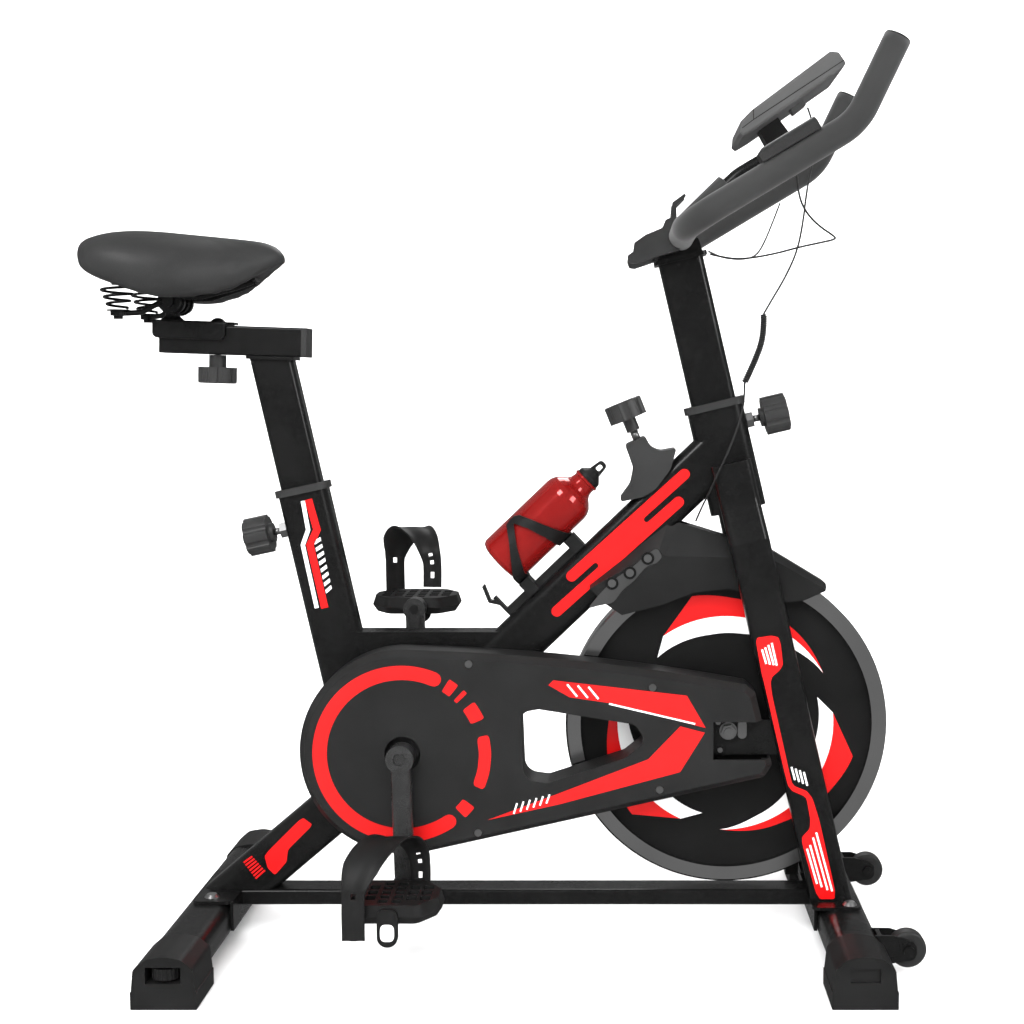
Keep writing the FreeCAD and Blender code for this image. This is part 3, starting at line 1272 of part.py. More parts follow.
def main():
    os.makedirs("parts", exist_ok=True)
    bb = bb_envelope()
    down_full = down_tube_solid(False)
    strut_full = strut_solid(False)
    head_full = head_tube_envelope()
    seat_full = seat_tube_envelope()
    above_head = box(0, 400, -60, 60, 0, 300)
    above_head = lean(above_head, -HEAD_LEAN, head_x(HEAD_TUBE_LOW), HEAD_TUBE_LOW)

    save("seat_tube", seat_tube([bb, down_full, strut_full]))
    save("down_tube", down_tube([bb, strut_full, head_full], above_head))
    save("rear_strut", rear_strut(bb))
    save("top_tube", top_tube([seat_full, down_full]))
    save("head_tube", head_tube())
    save("seat_tube_collar", collar(SEAT_TUBE_W, SEAT_POST_W, -SEAT_LEAN, seat_x(SEAT_TUBE_TOP),
                                    SEAT_TUBE_TOP, seat_pin_hole()))
    save("head_tube_collar", collar(HEAD_TUBE_W, HEAD_POST_W, -HEAD_LEAN, head_x(HEAD_TUBE_TOP),
                                    HEAD_TUBE_TOP, head_pin_hole()))
    save("fork_leg_right", fork_leg(-1))
    save("fork_leg_left", fork_leg(1).fuse(wheel_guard_tab()))
    save("base_rail", base_rail())

    rear_solid, rear_bar = foot_bar(REAR_X, 200.0)
    front_solid, front_bar = foot_bar(FRONT_X, 225.0)
    brackets = [caster_bracket(-1, front_solid), caster_bracket(1, front_solid)]
    save("rear_stabilizer", rear_bar)
    save("front_stabilizer", front_bar.fuse(brackets))
    save("rear_foot_right", foot(REAR_X, -1, rear_solid, True))
    save("rear_foot_left", foot(REAR_X, 1, rear_solid, True))
    save("front_foot_right", foot(FRONT_X, -1, front_solid, False))
    save("front_foot_left", foot(FRONT_X, 1, front_solid, False))
    save("leveller_right", leveller(-1))
    save("leveller_left", leveller(1))
    save("transport_wheel_right", caster(-1))
    save("transport_wheel_left", caster(1))

    save("guard_outer", guard_outer())
    save("guard_inner", guard_inner())
    save("drive_belt", drive_belt())
    cover = wheel_cover(down_full)
    save("wheel_cover", cover)
    save("frame_fasteners", group(frame_fasteners() + guard_screws() + cover_bolts() + pin_nuts()))
    save("brake_housing", brake_housing(down_full))
    save("brake_knob", brake_knob())
    save("brake_shoe", brake_shoe())
    save("bottle_cage", bottle_cage())
    save("bottle", bottle())
    save("bottle_cap", bottle_cap())

    save("flywheel", flywheel())
    save("flywheel_rim", flywheel_rim())
    save("flywheel_axle", group(flywheel_axle()))
    save("crank_axle", crank_axle())
    save("drive_pulley", drive_pulley())
    save("crank_right", crank(-1))
    save("crank_left", crank(1))
    save("pedal_right", pedal(-1))
    save("pedal_left", pedal(1))
    save("strap_right", pedal_strap(-1))
    save("strap_left", pedal_strap(1))

    save("seat_post", seat_post())
    save("rail_end_plug", rail_end_plug())
    save("seat_slider", seat_slider())
    save("slider_knob", slider_knob())
    save("saddle_cushion", saddle_cushion())
    save("saddle_frame", saddle_frame())
    save("saddle_springs", group(saddle_springs()))
    save("seat_post_knob", seat_post_knob())

    save("handlebar_post", handlebar_post())
    save("handlebar", handlebar())
    save("pulse_pads", group(pulse_pads()))
    save("console", console())
    save("console_button", console_button())
    save("console_bracket", console_bracket())
    save("head_cover", head_cover().fuse(phone_prop()))
    save("handlebar_post_knob", handlebar_post_knob())

    save("sensor_cable", group([cable("sensor cable, upper", SENSOR_UPPER, CABLE_R),
                                cable("sensor cable, coil", SENSOR_COIL, COIL_R),
                                cable("sensor cable, lower", SENSOR_LOWER, CABLE_R)]))
    save("pulse_wires", group([cable("pulse wire, right", PULSE_RIGHT, CABLE_R),
                               cable("pulse wire, left", PULSE_LEFT, CABLE_R)]))


main()
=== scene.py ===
import math

import bmesh
import bpy
from mathutils import Matrix, Vector


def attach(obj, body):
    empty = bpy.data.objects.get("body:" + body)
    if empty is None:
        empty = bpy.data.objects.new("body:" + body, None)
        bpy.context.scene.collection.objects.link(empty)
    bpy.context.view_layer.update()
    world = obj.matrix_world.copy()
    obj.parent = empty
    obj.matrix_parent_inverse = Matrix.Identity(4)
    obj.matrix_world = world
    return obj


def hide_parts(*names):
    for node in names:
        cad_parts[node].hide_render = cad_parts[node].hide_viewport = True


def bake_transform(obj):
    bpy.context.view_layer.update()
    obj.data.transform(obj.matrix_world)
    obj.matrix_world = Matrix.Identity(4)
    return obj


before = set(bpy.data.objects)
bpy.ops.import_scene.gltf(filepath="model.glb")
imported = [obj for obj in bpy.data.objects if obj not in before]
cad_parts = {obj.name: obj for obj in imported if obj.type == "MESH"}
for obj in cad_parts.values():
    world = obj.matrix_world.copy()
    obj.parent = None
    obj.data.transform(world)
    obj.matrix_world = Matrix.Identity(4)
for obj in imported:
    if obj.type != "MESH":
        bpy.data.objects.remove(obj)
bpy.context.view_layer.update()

# Indoor spin bike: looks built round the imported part.
# Sizes are millimetres unless a name ends in _M or a comment says metres.
MM = 0.001

WHEEL_CENTRE = (278.0, 275.0)
CRANK_CENTRE = (-122.0, 250.0)
TUBE_FACE = 20.0
GUARD_FACE = 72.0
FORK_FACE = 60.0
DISC_FACE = 10.0
DECAL_PROUD = 0.3
DOWN_START = (0.05, 361.6)
DOWN_ANGLE = math.radians(43.77)
HORN_Y = 173.0
HORN_R = 15.5
WEIGHT_FACE = 204.0
WORLD_STRENGTH = 0.2
SUN_STRENGTH = 4.6
BACK_SUN_STRENGTH = 2.4


# ---- materials ----
def add_node(tree, kind, **values):
    node = tree.nodes.new(kind)
    for key, value in values.items():
        if key in node.inputs:
            node.inputs[key].default_value = value
        else:
            setattr(node, key, value)
    return node


def surface(name, low, high, rough, grain=900.0, bump=0.2, relief=0.1, blotch=14.0, metal=0.0,
            specular=0.5, coat=0.0, coat_rough=0.1, sheen=0.0, cells=False, stretch=(1, 1, 1), turned=None):
    """A procedural finish: colour from low to high, a range of roughness, and a relief in millimetres."""
    mat = bpy.data.materials.new(name)
    mat.use_nodes = True
    tree = mat.node_tree
    tree.nodes.clear()
    link = tree.links.new
    out = add_node(tree, "ShaderNodeOutputMaterial")
    shader = add_node(tree, "ShaderNodeBsdfPrincipled")
    link(shader.outputs["BSDF"], out.inputs["Surface"])
    shader.inputs["Metallic"].default_value = metal
    shader.inputs["Specular IOR Level"].default_value = specular
    shader.inputs["Coat Weight"].default_value = coat
    shader.inputs["Coat Roughness"].default_value = coat_rough
    shader.inputs["Sheen Weight"].default_value = sheen
    shader.inputs["Sheen Roughness"].default_value = 0.5
    coords = add_node(tree, "ShaderNodeTexCoord")
    where = coords.outputs["Object"]
    if turned is not None:
        # rings round a turning axis along Y
        middle = Vector((turned[0], 0, turned[1])) * MM
        flat = add_node(tree, "ShaderNodeVectorMath", operation="MULTIPLY")
        flat.inputs[1].default_value = (1, 0, 1)
        link(where, flat.inputs[0])
        radius = add_node(tree, "ShaderNodeVectorMath", operation="DISTANCE")
        radius.inputs[1].default_value = middle
        link(flat.outputs["Vector"], radius.inputs[0])
        spread = add_node(tree, "ShaderNodeCombineXYZ")
        link(radius.outputs["Value"], spread.inputs["X"])
        where = spread.outputs["Vector"]
    shape = add_node(tree, "ShaderNodeMapping")
    shape.inputs["Scale"].default_value = stretch
    link(where, shape.inputs["Vector"])
    where = shape.outputs["Vector"]
    if cells:
        fine = add_node(tree, "ShaderNodeTexVoronoi", Scale=grain)
        fine_height = fine.outputs["Distance"]
    else:
        fine = add_node(tree, "ShaderNodeTexNoise", Scale=grain, Detail=3.0)
        fine_height = fine.outputs["Fac"]
    link(where, fine.inputs["Vector"])
    broad = add_node(tree, "ShaderNodeTexNoise", Scale=blotch, Detail=4.0)
    link(coords.outputs["Object"], broad.inputs["Vector"])
    both = add_node(tree, "ShaderNodeMath", operation="MULTIPLY_ADD")
    both.inputs[1].default_value = 0.45
    link(fine_height, both.inputs[0])
    half = add_node(tree, "ShaderNodeMath", operation="MULTIPLY")
    half.inputs[1].default_value = 0.6
    link(broad.outputs["Fac"], half.inputs[0])
    link(half.outputs["Value"], both.inputs[2])
    ramp = add_node(tree, "ShaderNodeValToRGB")
    ramp.color_ramp.elements[0].position = 0.3
    ramp.color_ramp.elements[0].color = (*low, 1)
    ramp.color_ramp.elements[1].position = 0.7
    ramp.color_ramp.elements[1].color = (*high, 1)
    link(both.outputs["Value"], ramp.inputs["Fac"])
    link(ramp.outputs["Color"], shader.inputs["Base Color"])
    gloss = add_node(tree, "ShaderNodeMapRange")
    gloss.inputs["From Min"].default_value = 0.3
    gloss.inputs["From Max"].default_value = 0.7
    gloss.inputs["To Min"].default_value = rough[0]
    gloss.inputs["To Max"].default_value = rough[1]
    link(both.outputs["Value"], gloss.inputs["Value"])
    link(gloss.outputs["Result"], shader.inputs["Roughness"])
    lift = add_node(tree, "ShaderNodeBump", Strength=bump, Distance=relief * MM)
    link(fine_height, lift.inputs["Height"])
    link(lift.outputs["Normal"], shader.inputs["Normal"])
    return mat


def grey(value):
    return (value, value, value)


PAINT = surface("black_paint", grey(0.0025), grey(0.006), (0.22, 0.32), 2200, 0.12, 0.05, specular=0.3,
                coat=0.12,
                coat_rough=0.14)
HOUSING = surface("housing_plastic", grey(0.014), grey(0.026), (0.42, 0.55), 2600, 0.35, 0.08, specular=0.3)
BLACK_PLASTIC = surface("black_plastic", grey(0.005), grey(0.011), (0.4, 0.55), 2400, 0.35, 0.08,
                        specular=0.28)
GUARD = surface("guard_plastic", grey(0.008), grey(0.014), (0.46, 0.58), 3000, 0.4, 0.07, specular=0.26)
RUBBER = surface("belt_rubber", grey(0.012), grey(0.022), (0.7, 0.85), 1500, 0.4, 0.1, specular=0.25)
STEEL = surface("bolt_steel", grey(0.42), grey(0.58), (0.26, 0.42), 1800, 0.15, 0.05, metal=1.0)
IRON = surface("wheel_iron", grey(0.003), grey(0.007), (0.3, 0.42), 1400, 0.2, 0.08, specular=0.25,
               coat=0.05,
               coat_rough=0.15)
CHROME = surface("rim_chrome", grey(0.55), grey(0.68), (0.12, 0.22), 1900, 0.25, 0.03, metal=1.0,
                 turned=WHEEL_CENTRE)
CRANK = surface("crank_steel", grey(0.012), grey(0.024), (0.2, 0.32), 1600, 0.2, 0.06, specular=0.5,
                coat=0.4)
PULLEY = surface("pulley_plastic", grey(0.02), grey(0.03), (0.5, 0.62), 1800, 0.3, 0.08)
KNOB = surface("knob_plastic", grey(0.016), grey(0.027), (0.32, 0.46), 2400, 0.35, 0.07, specular=0.45)
CASTER = surface("caster_rubber", grey(0.01), grey(0.018), (0.35, 0.5), 2000, 0.3, 0.08)
FELT = surface("brake_felt", (0.07, 0.06, 0.05), (0.12, 0.1, 0.085), (0.9, 1.0), 1400, 0.9, 0.3, sheen=0.3)
LEATHER = surface("saddle_skin", grey(0.015), grey(0.024), (0.42, 0.54), 900, 0.32, 0.12, specular=0.4,
                  cells=True)
FOAM = surface("grip_foam", grey(0.014), grey(0.023), (0.58, 0.7), 2600, 0.5, 0.12, specular=0.35,
               sheen=0.15)
SHELL = surface("console_shell", grey(0.05), grey(0.068), (0.5, 0.62), 2600, 0.4, 0.07, specular=0.35)
PAD = surface("pad_metal", grey(0.07), grey(0.12), (0.32, 0.46), 1500, 0.15, 0.04, metal=0.9)
BUTTON = surface("button_plastic", (0.3, 0.02, 0.02), (0.4, 0.03, 0.03), (0.4, 0.5), 1800, 0.3, 0.06)
BOTTLE = surface("bottle_red", (0.24, 0.006, 0.006), (0.34, 0.012, 0.01), (0.12, 0.2), 1300, 0.1, 0.04,
                 metal=0.55, coat=0.8, coat_rough=0.06)
CABLE = surface("cable_rubber", grey(0.008), grey(0.015), (0.4, 0.52), 1700, 0.3, 0.05)
RED = surface("printed_red", (0.5, 0.001, 0.002), (0.6, 0.003, 0.003), (0.42, 0.52), 2200, 0.1, 0.03,
              specular=0.2)
DEEP_RED = surface("printed_guard_red", (0.42, 0.004, 0.004), (0.5, 0.006, 0.006), (0.42, 0.52), 2200, 0.1,
                   0.03,
                   specular=0.2)
WHITE = surface("printed_white", grey(0.74), grey(0.86), (0.36, 0.48), 2200, 0.1, 0.03)
SATIN_STEEL = surface("satin_plate", grey(0.3), grey(0.44), (0.3, 0.46), 900, 0.3, 0.06, metal=1.0,
                      stretch=(1, 1, 12))
LCD = surface("screen_lcd", (0.2, 0.24, 0.19), (0.25, 0.29, 0.23), (0.25, 0.35), 1500, 0.1, 0.02)

NODE_FINISH = {
    PAINT: ("seat_tube", "top_tube", "down_tube", "rear_strut", "head_tube", "fork_leg_right",
            "fork_leg_left",
            "base_rail", "rear_stabilizer", "front_stabilizer", "seat_post", "handlebar_post", "seat_slider",
            "saddle_frame", "saddle_springs"),
    HOUSING: ("brake_housing", "head_cover", "seat_tube_collar", "head_tube_collar", "rail_end_plug"),
    BLACK_PLASTIC: ("rear_foot_right", "rear_foot_left", "front_foot_right", "front_foot_left",
                    "wheel_cover",
                    "bottle_cage", "bottle_cap", "pedal_right", "pedal_left", "strap_right", "strap_left",
                    "leveller_right", "leveller_left", "console_bracket"),
    GUARD: ("guard_outer", "guard_inner"),
    RUBBER: ("drive_belt",),
    STEEL: ("frame_fasteners", "flywheel_axle"),
    IRON: ("flywheel",),
    CHROME: ("flywheel_rim",),
    CRANK: ("crank_right", "crank_left", "crank_axle"),
    PULLEY: ("drive_pulley",),
    KNOB: ("seat_post_knob", "handlebar_post_knob", "slider_knob", "brake_knob"),
    CASTER: ("transport_wheel_right", "transport_wheel_left"),
    FELT: ("brake_shoe",),
    LEATHER: ("saddle_cushion",),
    FOAM: ("handlebar",),
    PAD: ("pulse_pads",),
    SHELL: ("console",),
    BUTTON: ("console_button",),
    BOTTLE: ("bottle",),
    CABLE: ("sensor_cable", "pulse_wires"),
}
for finish, names in NODE_FINISH.items():
    for node_name in names:
        node_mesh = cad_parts[node_name].data
        node_mesh.materials.clear()
        node_mesh.materials.append(finish)


# ---- shape helpers ----
def add_object(name, mesh, material, body, smooth=True):
    obj = bpy.data.objects.new(name, mesh)
    bpy.context.scene.collection.objects.link(obj)
    mesh.materials.append(material)
    for poly in mesh.polygons:
        poly.use_smooth = smooth
    if body:
        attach(obj, body)
    return obj


def mesh_from(bm, name):
    bmesh.ops.recalc_face_normals(bm, faces=bm.faces)
    mesh = bpy.data.meshes.new(name)
    bm.to_mesh(mesh)
    bm.free()
    return mesh


def down_point(along, off):
    c, s = math.cos(DOWN_ANGLE), math.sin(DOWN_ANGLE)
    return DOWN_START[0] + along * c - off * s, DOWN_START[1] + along * s + off * c


def polar(centre, radius, degrees):
    a = math.radians(degrees)
    return centre[0] + radius * math.cos(a), centre[1] + radius * math.sin(a)


def ring_part(centre, inner, outer, start, end, steps=40):
    """Part of a flat ring between two angles, as a closed outline."""
    angles = [start + (end - start) * i / steps for i in range(steps + 1)]
    return [polar(centre, outer, a) for a in angles] + [polar(centre, inner, a) for a in reversed(angles)]


def stroke(points, width):
    """Closed outline of that width round an open line, mitred at its corners."""
    left, right = [], []
    for i, point in enumerate(points):
        here = Vector(point)
        before = (here - Vector(points[i - 1])).normalized() if i else None
        after = (Vector(points[i + 1]) - here).normalized() if i < len(points) - 1 else None
        before, after = before or after, after or before
        middle = (before + after).normalized()
        normal = Vector((-middle.y, middle.x))
        reach = width / 2 / max(0.5, normal.dot(Vector((-before.y, before.x))))
        left.append(tuple(here + normal * reach))
        right.append(tuple(here - normal * reach))
    return left + right[::-1]


def strokes_between(corners, count, share):
    """Slanting bars that fill a four-cornered patch: top left, top right, low right, low left."""
    top_left, top_right, low_right, low_left = [Vector(c) for c in corners]
    bars = []
    for i in range(count):
        a = i / count
        b = (i + share) / count
        bars.append([tuple(top_left.lerp(low_left, a)), tuple(top_right.lerp(low_right, a)),
                     tuple(top_right.lerp(low_right, b)), tuple(top_left.lerp(low_left, b))])
    return bars


def rounded(points, share=0.22):
    """Each corner of a closed outline is cut twice, which rounds it."""
    for _ in range(2):
        cut = []
        for i, point in enumerate(points):
            here, after = Vector(point), Vector(points[(i + 1) % len(points)])
            cut += [tuple(here.lerp(after, share)), tuple(here.lerp(after, 1 - share))]
        points = cut
    return points


def plates(name, outlines, face, material, body, proud=DECAL_PROUD, sunk=0.1):
    """Thin printed shapes on an upright face; a minus face looks towards the drive side."""
    bm = bmesh.new()
    side = 1 if face > 0 else -1
    for points in outlines:
        near = [bm.verts.new(Vector((x, face + side * proud, z)) * MM) for x, z in points]
        far = [bm.verts.new(Vector((x, face - side * sunk, z)) * MM) for x, z in points]
        bm.faces.new(near)
        bm.faces.new(far[::-1])
        for i in range(len(points)):
            j = (i + 1) % len(points)
            bm.faces.new((near[i], far[i], far[j], near[j]))
    bm.normal_update()
    bmesh.ops.triangulate(bm, faces=[f for f in bm.faces if len(f.verts) > 4])
    return add_object(name, mesh_from(bm, name), material, body, smooth=False)


def both_sides(name, outlines, face, material, body):
    plates(name + "_right", outlines, -face, material, body)
    plates(name + "_left", outlines, face, material, body)


def over_print(name, outlines, face, material, body):
    """Thin shapes that lie on top of another print, on both sides."""
    for side, word in ((-1, "_right"), (1, "_left")):
        plates(name + word, outlines, side * (face + DECAL_PROUD), material, body, proud=0.2)


def bent_path(points, radii, step=3.0):
    """Points along straight runs joined by tangent arcs."""
    pts = [Vector(p) for p in points]
    path = [pts[0]]
    for i in range(1, len(pts) - 1):
        back = (pts[i - 1] - pts[i]).normalized()
        ahead = (pts[i + 1] - pts[i]).normalized()
        half = back.angle(ahead) / 2
        reach = radii[i - 1] / math.tan(half)
        centre = pts[i] + (back + ahead).normalized() * (radii[i - 1] / math.sin(half))
        first = pts[i] + back * reach - centre
        last = pts[i] + ahead * reach - centre
        turn = math.pi - 2 * half
        count = max(6, int(radii[i - 1] * turn / step))
        axis = first.cross(last).normalized()
        path += [centre + Matrix.Rotation(turn * k / count, 3, axis) @ first for k in range(count + 1)]
    path.append(pts[-1])
    dense = [path[0]]
    for point in path[1:]:
        gap = (point - dense[-1]).length
        count = max(1, int(gap / (step * 2)))
        start = dense[-1]
        dense += [start.lerp(point, k / count) for k in range(1, count + 1)]
    return dense


def sweep(bm, path, radii, sides=24, end_dome=0.0):
    """A closed round bar along a path; radii is one number or one for each point."""
    if isinstance(radii, (int, float)):
        radii = [radii] * len(path)
    path, radii = list(path), list(radii)
    if end_dome:
        head = (path[0] - path[1]).normalized()
        tail = (path[-1] - path[-2]).normalized()
        steps = (0.35, 0.7, 0.92)
        front = [(path[0] + head * end_dome * s, radii[0] * math.sqrt(1 - s * s)) for s in reversed(steps)]
        back = [(path[-1] + tail * end_dome * s, radii[-1] * math.sqrt(1 - s * s)) for s in steps]
        path = [p for p, _ in front] + path + [p for p, _ in back]
        radii = [r for _, r in front] + radii + [r for _, r in back]
    heading = (path[1] - path[0]).normalized()
    across = heading.orthogonal().normalized()
    rings = []
    for i, here in enumerate(path):
        ahead = (path[min(i + 1, len(path) - 1)] - path[max(i - 1, 0)]).normalized()
        across = (across - ahead * across.dot(ahead)).normalized()
        other = ahead.cross(across)
        rings.append([bm.verts.new(here + (across * math.cos(a) + other * math.sin(a)) * radii[i])
                      for a in [2 * math.pi * k / sides for k in range(sides)]])
    for a, b in zip(rings[:-1], rings[1:]):
        for k in range(sides):
            j = (k + 1) % sides
            bm.faces.new((a[k], a[j], b[j], b[k]))
    bm.faces.new(rings[0][::-1])
    bm.faces.new(rings[-1])


def swept(name, runs, material, body, sides=24, end_dome=0.0):
    """One object from several bars; each run is a path in millimetres and its radius."""
    bm = bmesh.new()
    for path, radii in runs:
        scale = [r * MM for r in radii] if isinstance(radii, (list, tuple)) else radii * MM
        sweep(bm, [p * MM for p in path], scale, sides, end_dome * MM)
    return add_object(name, mesh_from(bm, name), material, body)


def rounded_box(bm, low, high, radius, matrix=None):
    """A box with rounded edges, in millimetres."""
    made = bmesh.ops.create_cube(bm, size=1.0)["verts"]
    size = Vector(high) - Vector(low)
    middle = (Vector(high) + Vector(low)) / 2
    for v in made:
        v.co = Vector((v.co.x * size.x, v.co.y * size.y, v.co.z * size.z)) + middle
    edges = {e for v in made for e in v.link_edges}
    bevelled = bmesh.ops.bevel(bm, geom=list(edges), offset=radius, segments=3, profile=0.5, affect="EDGES")
    verts = {v for f in bevelled["faces"] for v in f.verts} | {v for v in made if v.is_valid}
    for v in verts:
        v.co = (matrix @ v.co if matrix else v.co) * MM


# ---- camera ----
camera_data = bpy.data.cameras.new("camera")
camera_data.lens = 52.03
camera_data.sensor_width = 36.0
camera_data.shift_x = -0.0996
camera_data.clip_end = 60.0
camera = bpy.data.objects.new("camera", camera_data)
camera.location = (0.137, -1.850, 0.704)
camera.rotation_euler = (math.radians(84.98), 0, 0)
bpy.context.scene.collection.objects.link(camera)
bpy.context.scene.camera = camera


# ---- cables ----
SENSOR_UPPER_M = [(0.3736, -0.005, 1.038), (0.380, -0.011, 1.018), (0.383, -0.024, 0.990),
                  (0.374, -0.036, 0.958),
                  (0.368, -0.044, 0.928), (0.364, -0.050, 0.895), (0.357, -0.052, 0.860),
                  (0.343, -0.050, 0.829),
                  (0.327, -0.048, 0.802), (0.318, -0.046, 0.786)]
SENSOR_COIL_M = [(0.318, -0.046, 0.786), (0.319, -0.045, 0.761), (0.309, -0.044, 0.731),
                 (0.296, -0.042, 0.703)]
SENSOR_LOWER_M = [(0.296, -0.042, 0.703), (0.296, -0.041, 0.682), (0.291, -0.043, 0.658),
                  (0.282, -0.047, 0.634),
                  (0.273, -0.0505, 0.613), (0.263, -0.051, 0.592), (0.253, -0.049, 0.569),
                  (0.244, -0.041, 0.550),
                  (0.238, -0.031, 0.533)]
PULSE_RIGHT_M = [(0.341, -0.173, 0.933), (0.343, -0.170, 0.912), (0.354, -0.160, 0.893),
                 (0.371, -0.145, 0.880),
                 (0.390, -0.129, 0.871), (0.393, -0.121, 0.868), (0.374, -0.106, 0.865),
                 (0.355, -0.090, 0.862),
                 (0.328, -0.066, 0.856), (0.296, -0.044, 0.852), (0.275, -0.028, 0.854),
                 (0.255, -0.015, 0.860)]
PULSE_LEFT_M = [(0.3606, 0.173, 0.944), (0.349, 0.165, 0.914), (0.334, 0.145, 0.882), (0.322, 0.120, 0.868),
                (0.302, 0.090, 0.862), (0.280, 0.056, 0.861), (0.268, 0.034, 0.862), (0.255, 0.015, 0.866)]
WIRE_R = 0.0012
COIL_R = 0.0031
COIL_PITCH = 0.0027
COIL_STEPS = 16
PULSE_RIGHT_LENGTH = 0.28
PULSE_LEFT_LENGTH = 0.228


def spline(name, points):
    data = bpy.data.curves.new(name, "CURVE")
    data.dimensions = "3D"
    line = data.splines.new("NURBS")
    line.points.add(len(points) - 1)
    for point, where in zip(line.points, points):
        point.co = (*where, 1)
    line.order_u = 3
    line.use_endpoint_u = True
    line.resolution_u = 10
    obj = bpy.data.objects.new(name, data)
    bpy.context.scene.collection.objects.link(obj)
    return obj


def spline_points(points):
    """The evaluated line through a list of control points."""
    obj = spline("cable_line", points)
    bpy.context.view_layer.update()
    shown = obj.evaluated_get(bpy.context.evaluated_depsgraph_get())
    mesh = shown.to_mesh()
    found = [v.co.copy() for v in mesh.vertices]
    shown.to_mesh_clear()
    bpy.data.objects.remove(obj)
    return found


def along(path, distance):
    """The point and heading at that distance along a path."""
    for a, b in zip(path[:-1], path[1:]):
        gap = (b - a).length
        if distance <= gap:
            return a.lerp(b, distance / gap), (b - a).normalized()
        distance -= gap
    return path[-1].copy(), (path[-1] - path[-2]).normalized()


def coil_round(path):
    """Close helix turns round a path, starting and ending on its centre line."""
    total = sum((b - a).length for a, b in zip(path[:-1], path[1:]))
    turns = total / COIL_PITCH
    count = int(turns * COIL_STEPS)
    across = Vector((0, 1, 0))
    found = []
    for i in range(count + 1):
        centre, ahead = along(path, total * i / count)
        across = (across - ahead * across.dot(ahead)).normalized()
        other = ahead.cross(across)
        angle = 2 * math.pi * turns * i / count
        reach = COIL_R * min(1.0, i / COIL_STEPS * 2, (count - i) / COIL_STEPS * 2)
        found.append(centre + (across * math.cos(angle) + other * math.sin(angle)) * reach)
    return found


upper = spline_points(SENSOR_UPPER_M)
coil = coil_round(spline_points(SENSOR_COIL_M))
lower = spline_points(SENSOR_LOWER_M)
sensor_path = upper[:-1] + coil + lower[1:]
cable_bm = bmesh.new()
sweep(cable_bm, sensor_path, WIRE_R, 8)
sensor = add_object("sensor_cord", mesh_from(cable_bm, "sensor_cord"), CABLE, None)
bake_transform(sensor)
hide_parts("sensor_cable")

for cord_name, cord_points, cord_length in (("pulse_cord_right", PULSE_RIGHT_M, PULSE_RIGHT_LENGTH),
                                            ("pulse_cord_left", PULSE_LEFT_M, PULSE_LEFT_LENGTH)):
    pulse = spline(cord_name, cord_points)
    pulse.data.bevel_depth = WIRE_R
    pulse.data.bevel_resolution = 3
    pulse.data.use_fill_caps = True
    pulse.data.materials.append(CABLE)
    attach(pulse, "handlebar_column")
    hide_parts("pulse_wires")


# ---- printed decoration on the frame ----
def round_end(along, off, radius, outward):
    """Half circle in the down tube's own direction, from its low side to its high side."""
    turns = [math.radians(-90 + 180 * i / 8) for i in range(9)]
    return [down_point(along + outward * radius * math.cos(a),
                       off + outward * radius * math.sin(a)) for a in turns]


def down_stripe():
    """Two offset bars joined in the middle, with an open slot at each end."""
    half = 6.75
    slot = 3.5
    right_slot = round_end(247.5, 1.7, slot, -1)
    left_slot = round_end(161.5, 3.9, slot, 1)
    return (round_end(320, 10, half, 1)[::-1] + right_slot + round_end(291, -10, half, 1)[::-1]
            + round_end(87, -4, half, -1)[::-1] + left_slot + round_end(131, 15, half, -1)[::-1])


both_sides("seat_tube_white", [stroke([(-249, 557), (-243, 521), (-250, 502), (-234, 423)], 5)]
           + strokes_between([(-236, 507), (-228, 512), (-214, 443), (-221, 437)], 8, 0.5),
           TUBE_FACE, WHITE, "frame")
both_sides("seat_tube_red", [stroke([(-242, 559), (-232, 521), (-241, 502), (-224, 423)], 9)],
           TUBE_FACE, RED, "frame")
both_sides("down_tube_red", [down_stripe()],
           TUBE_FACE, RED, "frame")
both_sides("strut_red", [rounded([(-257, 156), (-244, 146), (-276, 114), (-278, 98), (-293, 81), (-302, 90),
                                  (-306, 107)], 0.1)]
           + strokes_between([(-333, 98), (-322, 106), (-304, 85), (-316, 74)], 7, 0.55),
           TUBE_FACE, RED, "frame")

FORK_RED = [(310, 392), (329, 395), (338, 393), (341, 384), (344, 359), (340, 352), (331, 344), (329, 337),
            (331, 321),
            (356, 212), (360, 207), (375, 201), (382, 192), (391, 164), (414, 64), (390, 64), (370, 135),
            (370, 143),
            (379, 153), (380, 164), (375, 191), (371, 195), (357, 201), (351, 209), (321, 337), (318, 348)]
FORK_TOP_LINES = [((318.2, 377.8), (323.5, 360.1)), ((322.1, 380.3), (328.1, 359.2)), ((325.8, 383.4),
                                                                                       (332.7, 358.6)),
                  ((330.0, 385.9), (336.4, 358.0))]
FORK_MIDDLE_LINES = [((355.8 + 5.1 * i, 231.2 - 2.1 * i), (360.3 + 5.1 * i,
                                                           214.9 - 2.4 * i)) for i in range(4)]
FORK_LOW_LINES = [((376.1, 128.0), (389.0, 83.5)), ((379.8, 132.7), (395.0, 79.3)), ((383.4, 142.2),
                                                                                     (402.2, 75.5)),
                  ((387.3, 148.6), (408.0, 74.0))]
both_sides("fork_red", [rounded(FORK_RED, 0.12)], FORK_FACE, RED, "frame")
both_sides("fork_marks", [stroke(line, 2.3) for line in FORK_MIDDLE_LINES], FORK_FACE, WHITE, "frame")
over_print("fork_lines", [stroke(line, 2.3) for line in FORK_TOP_LINES + FORK_LOW_LINES], FORK_FACE, WHITE,
           "frame")


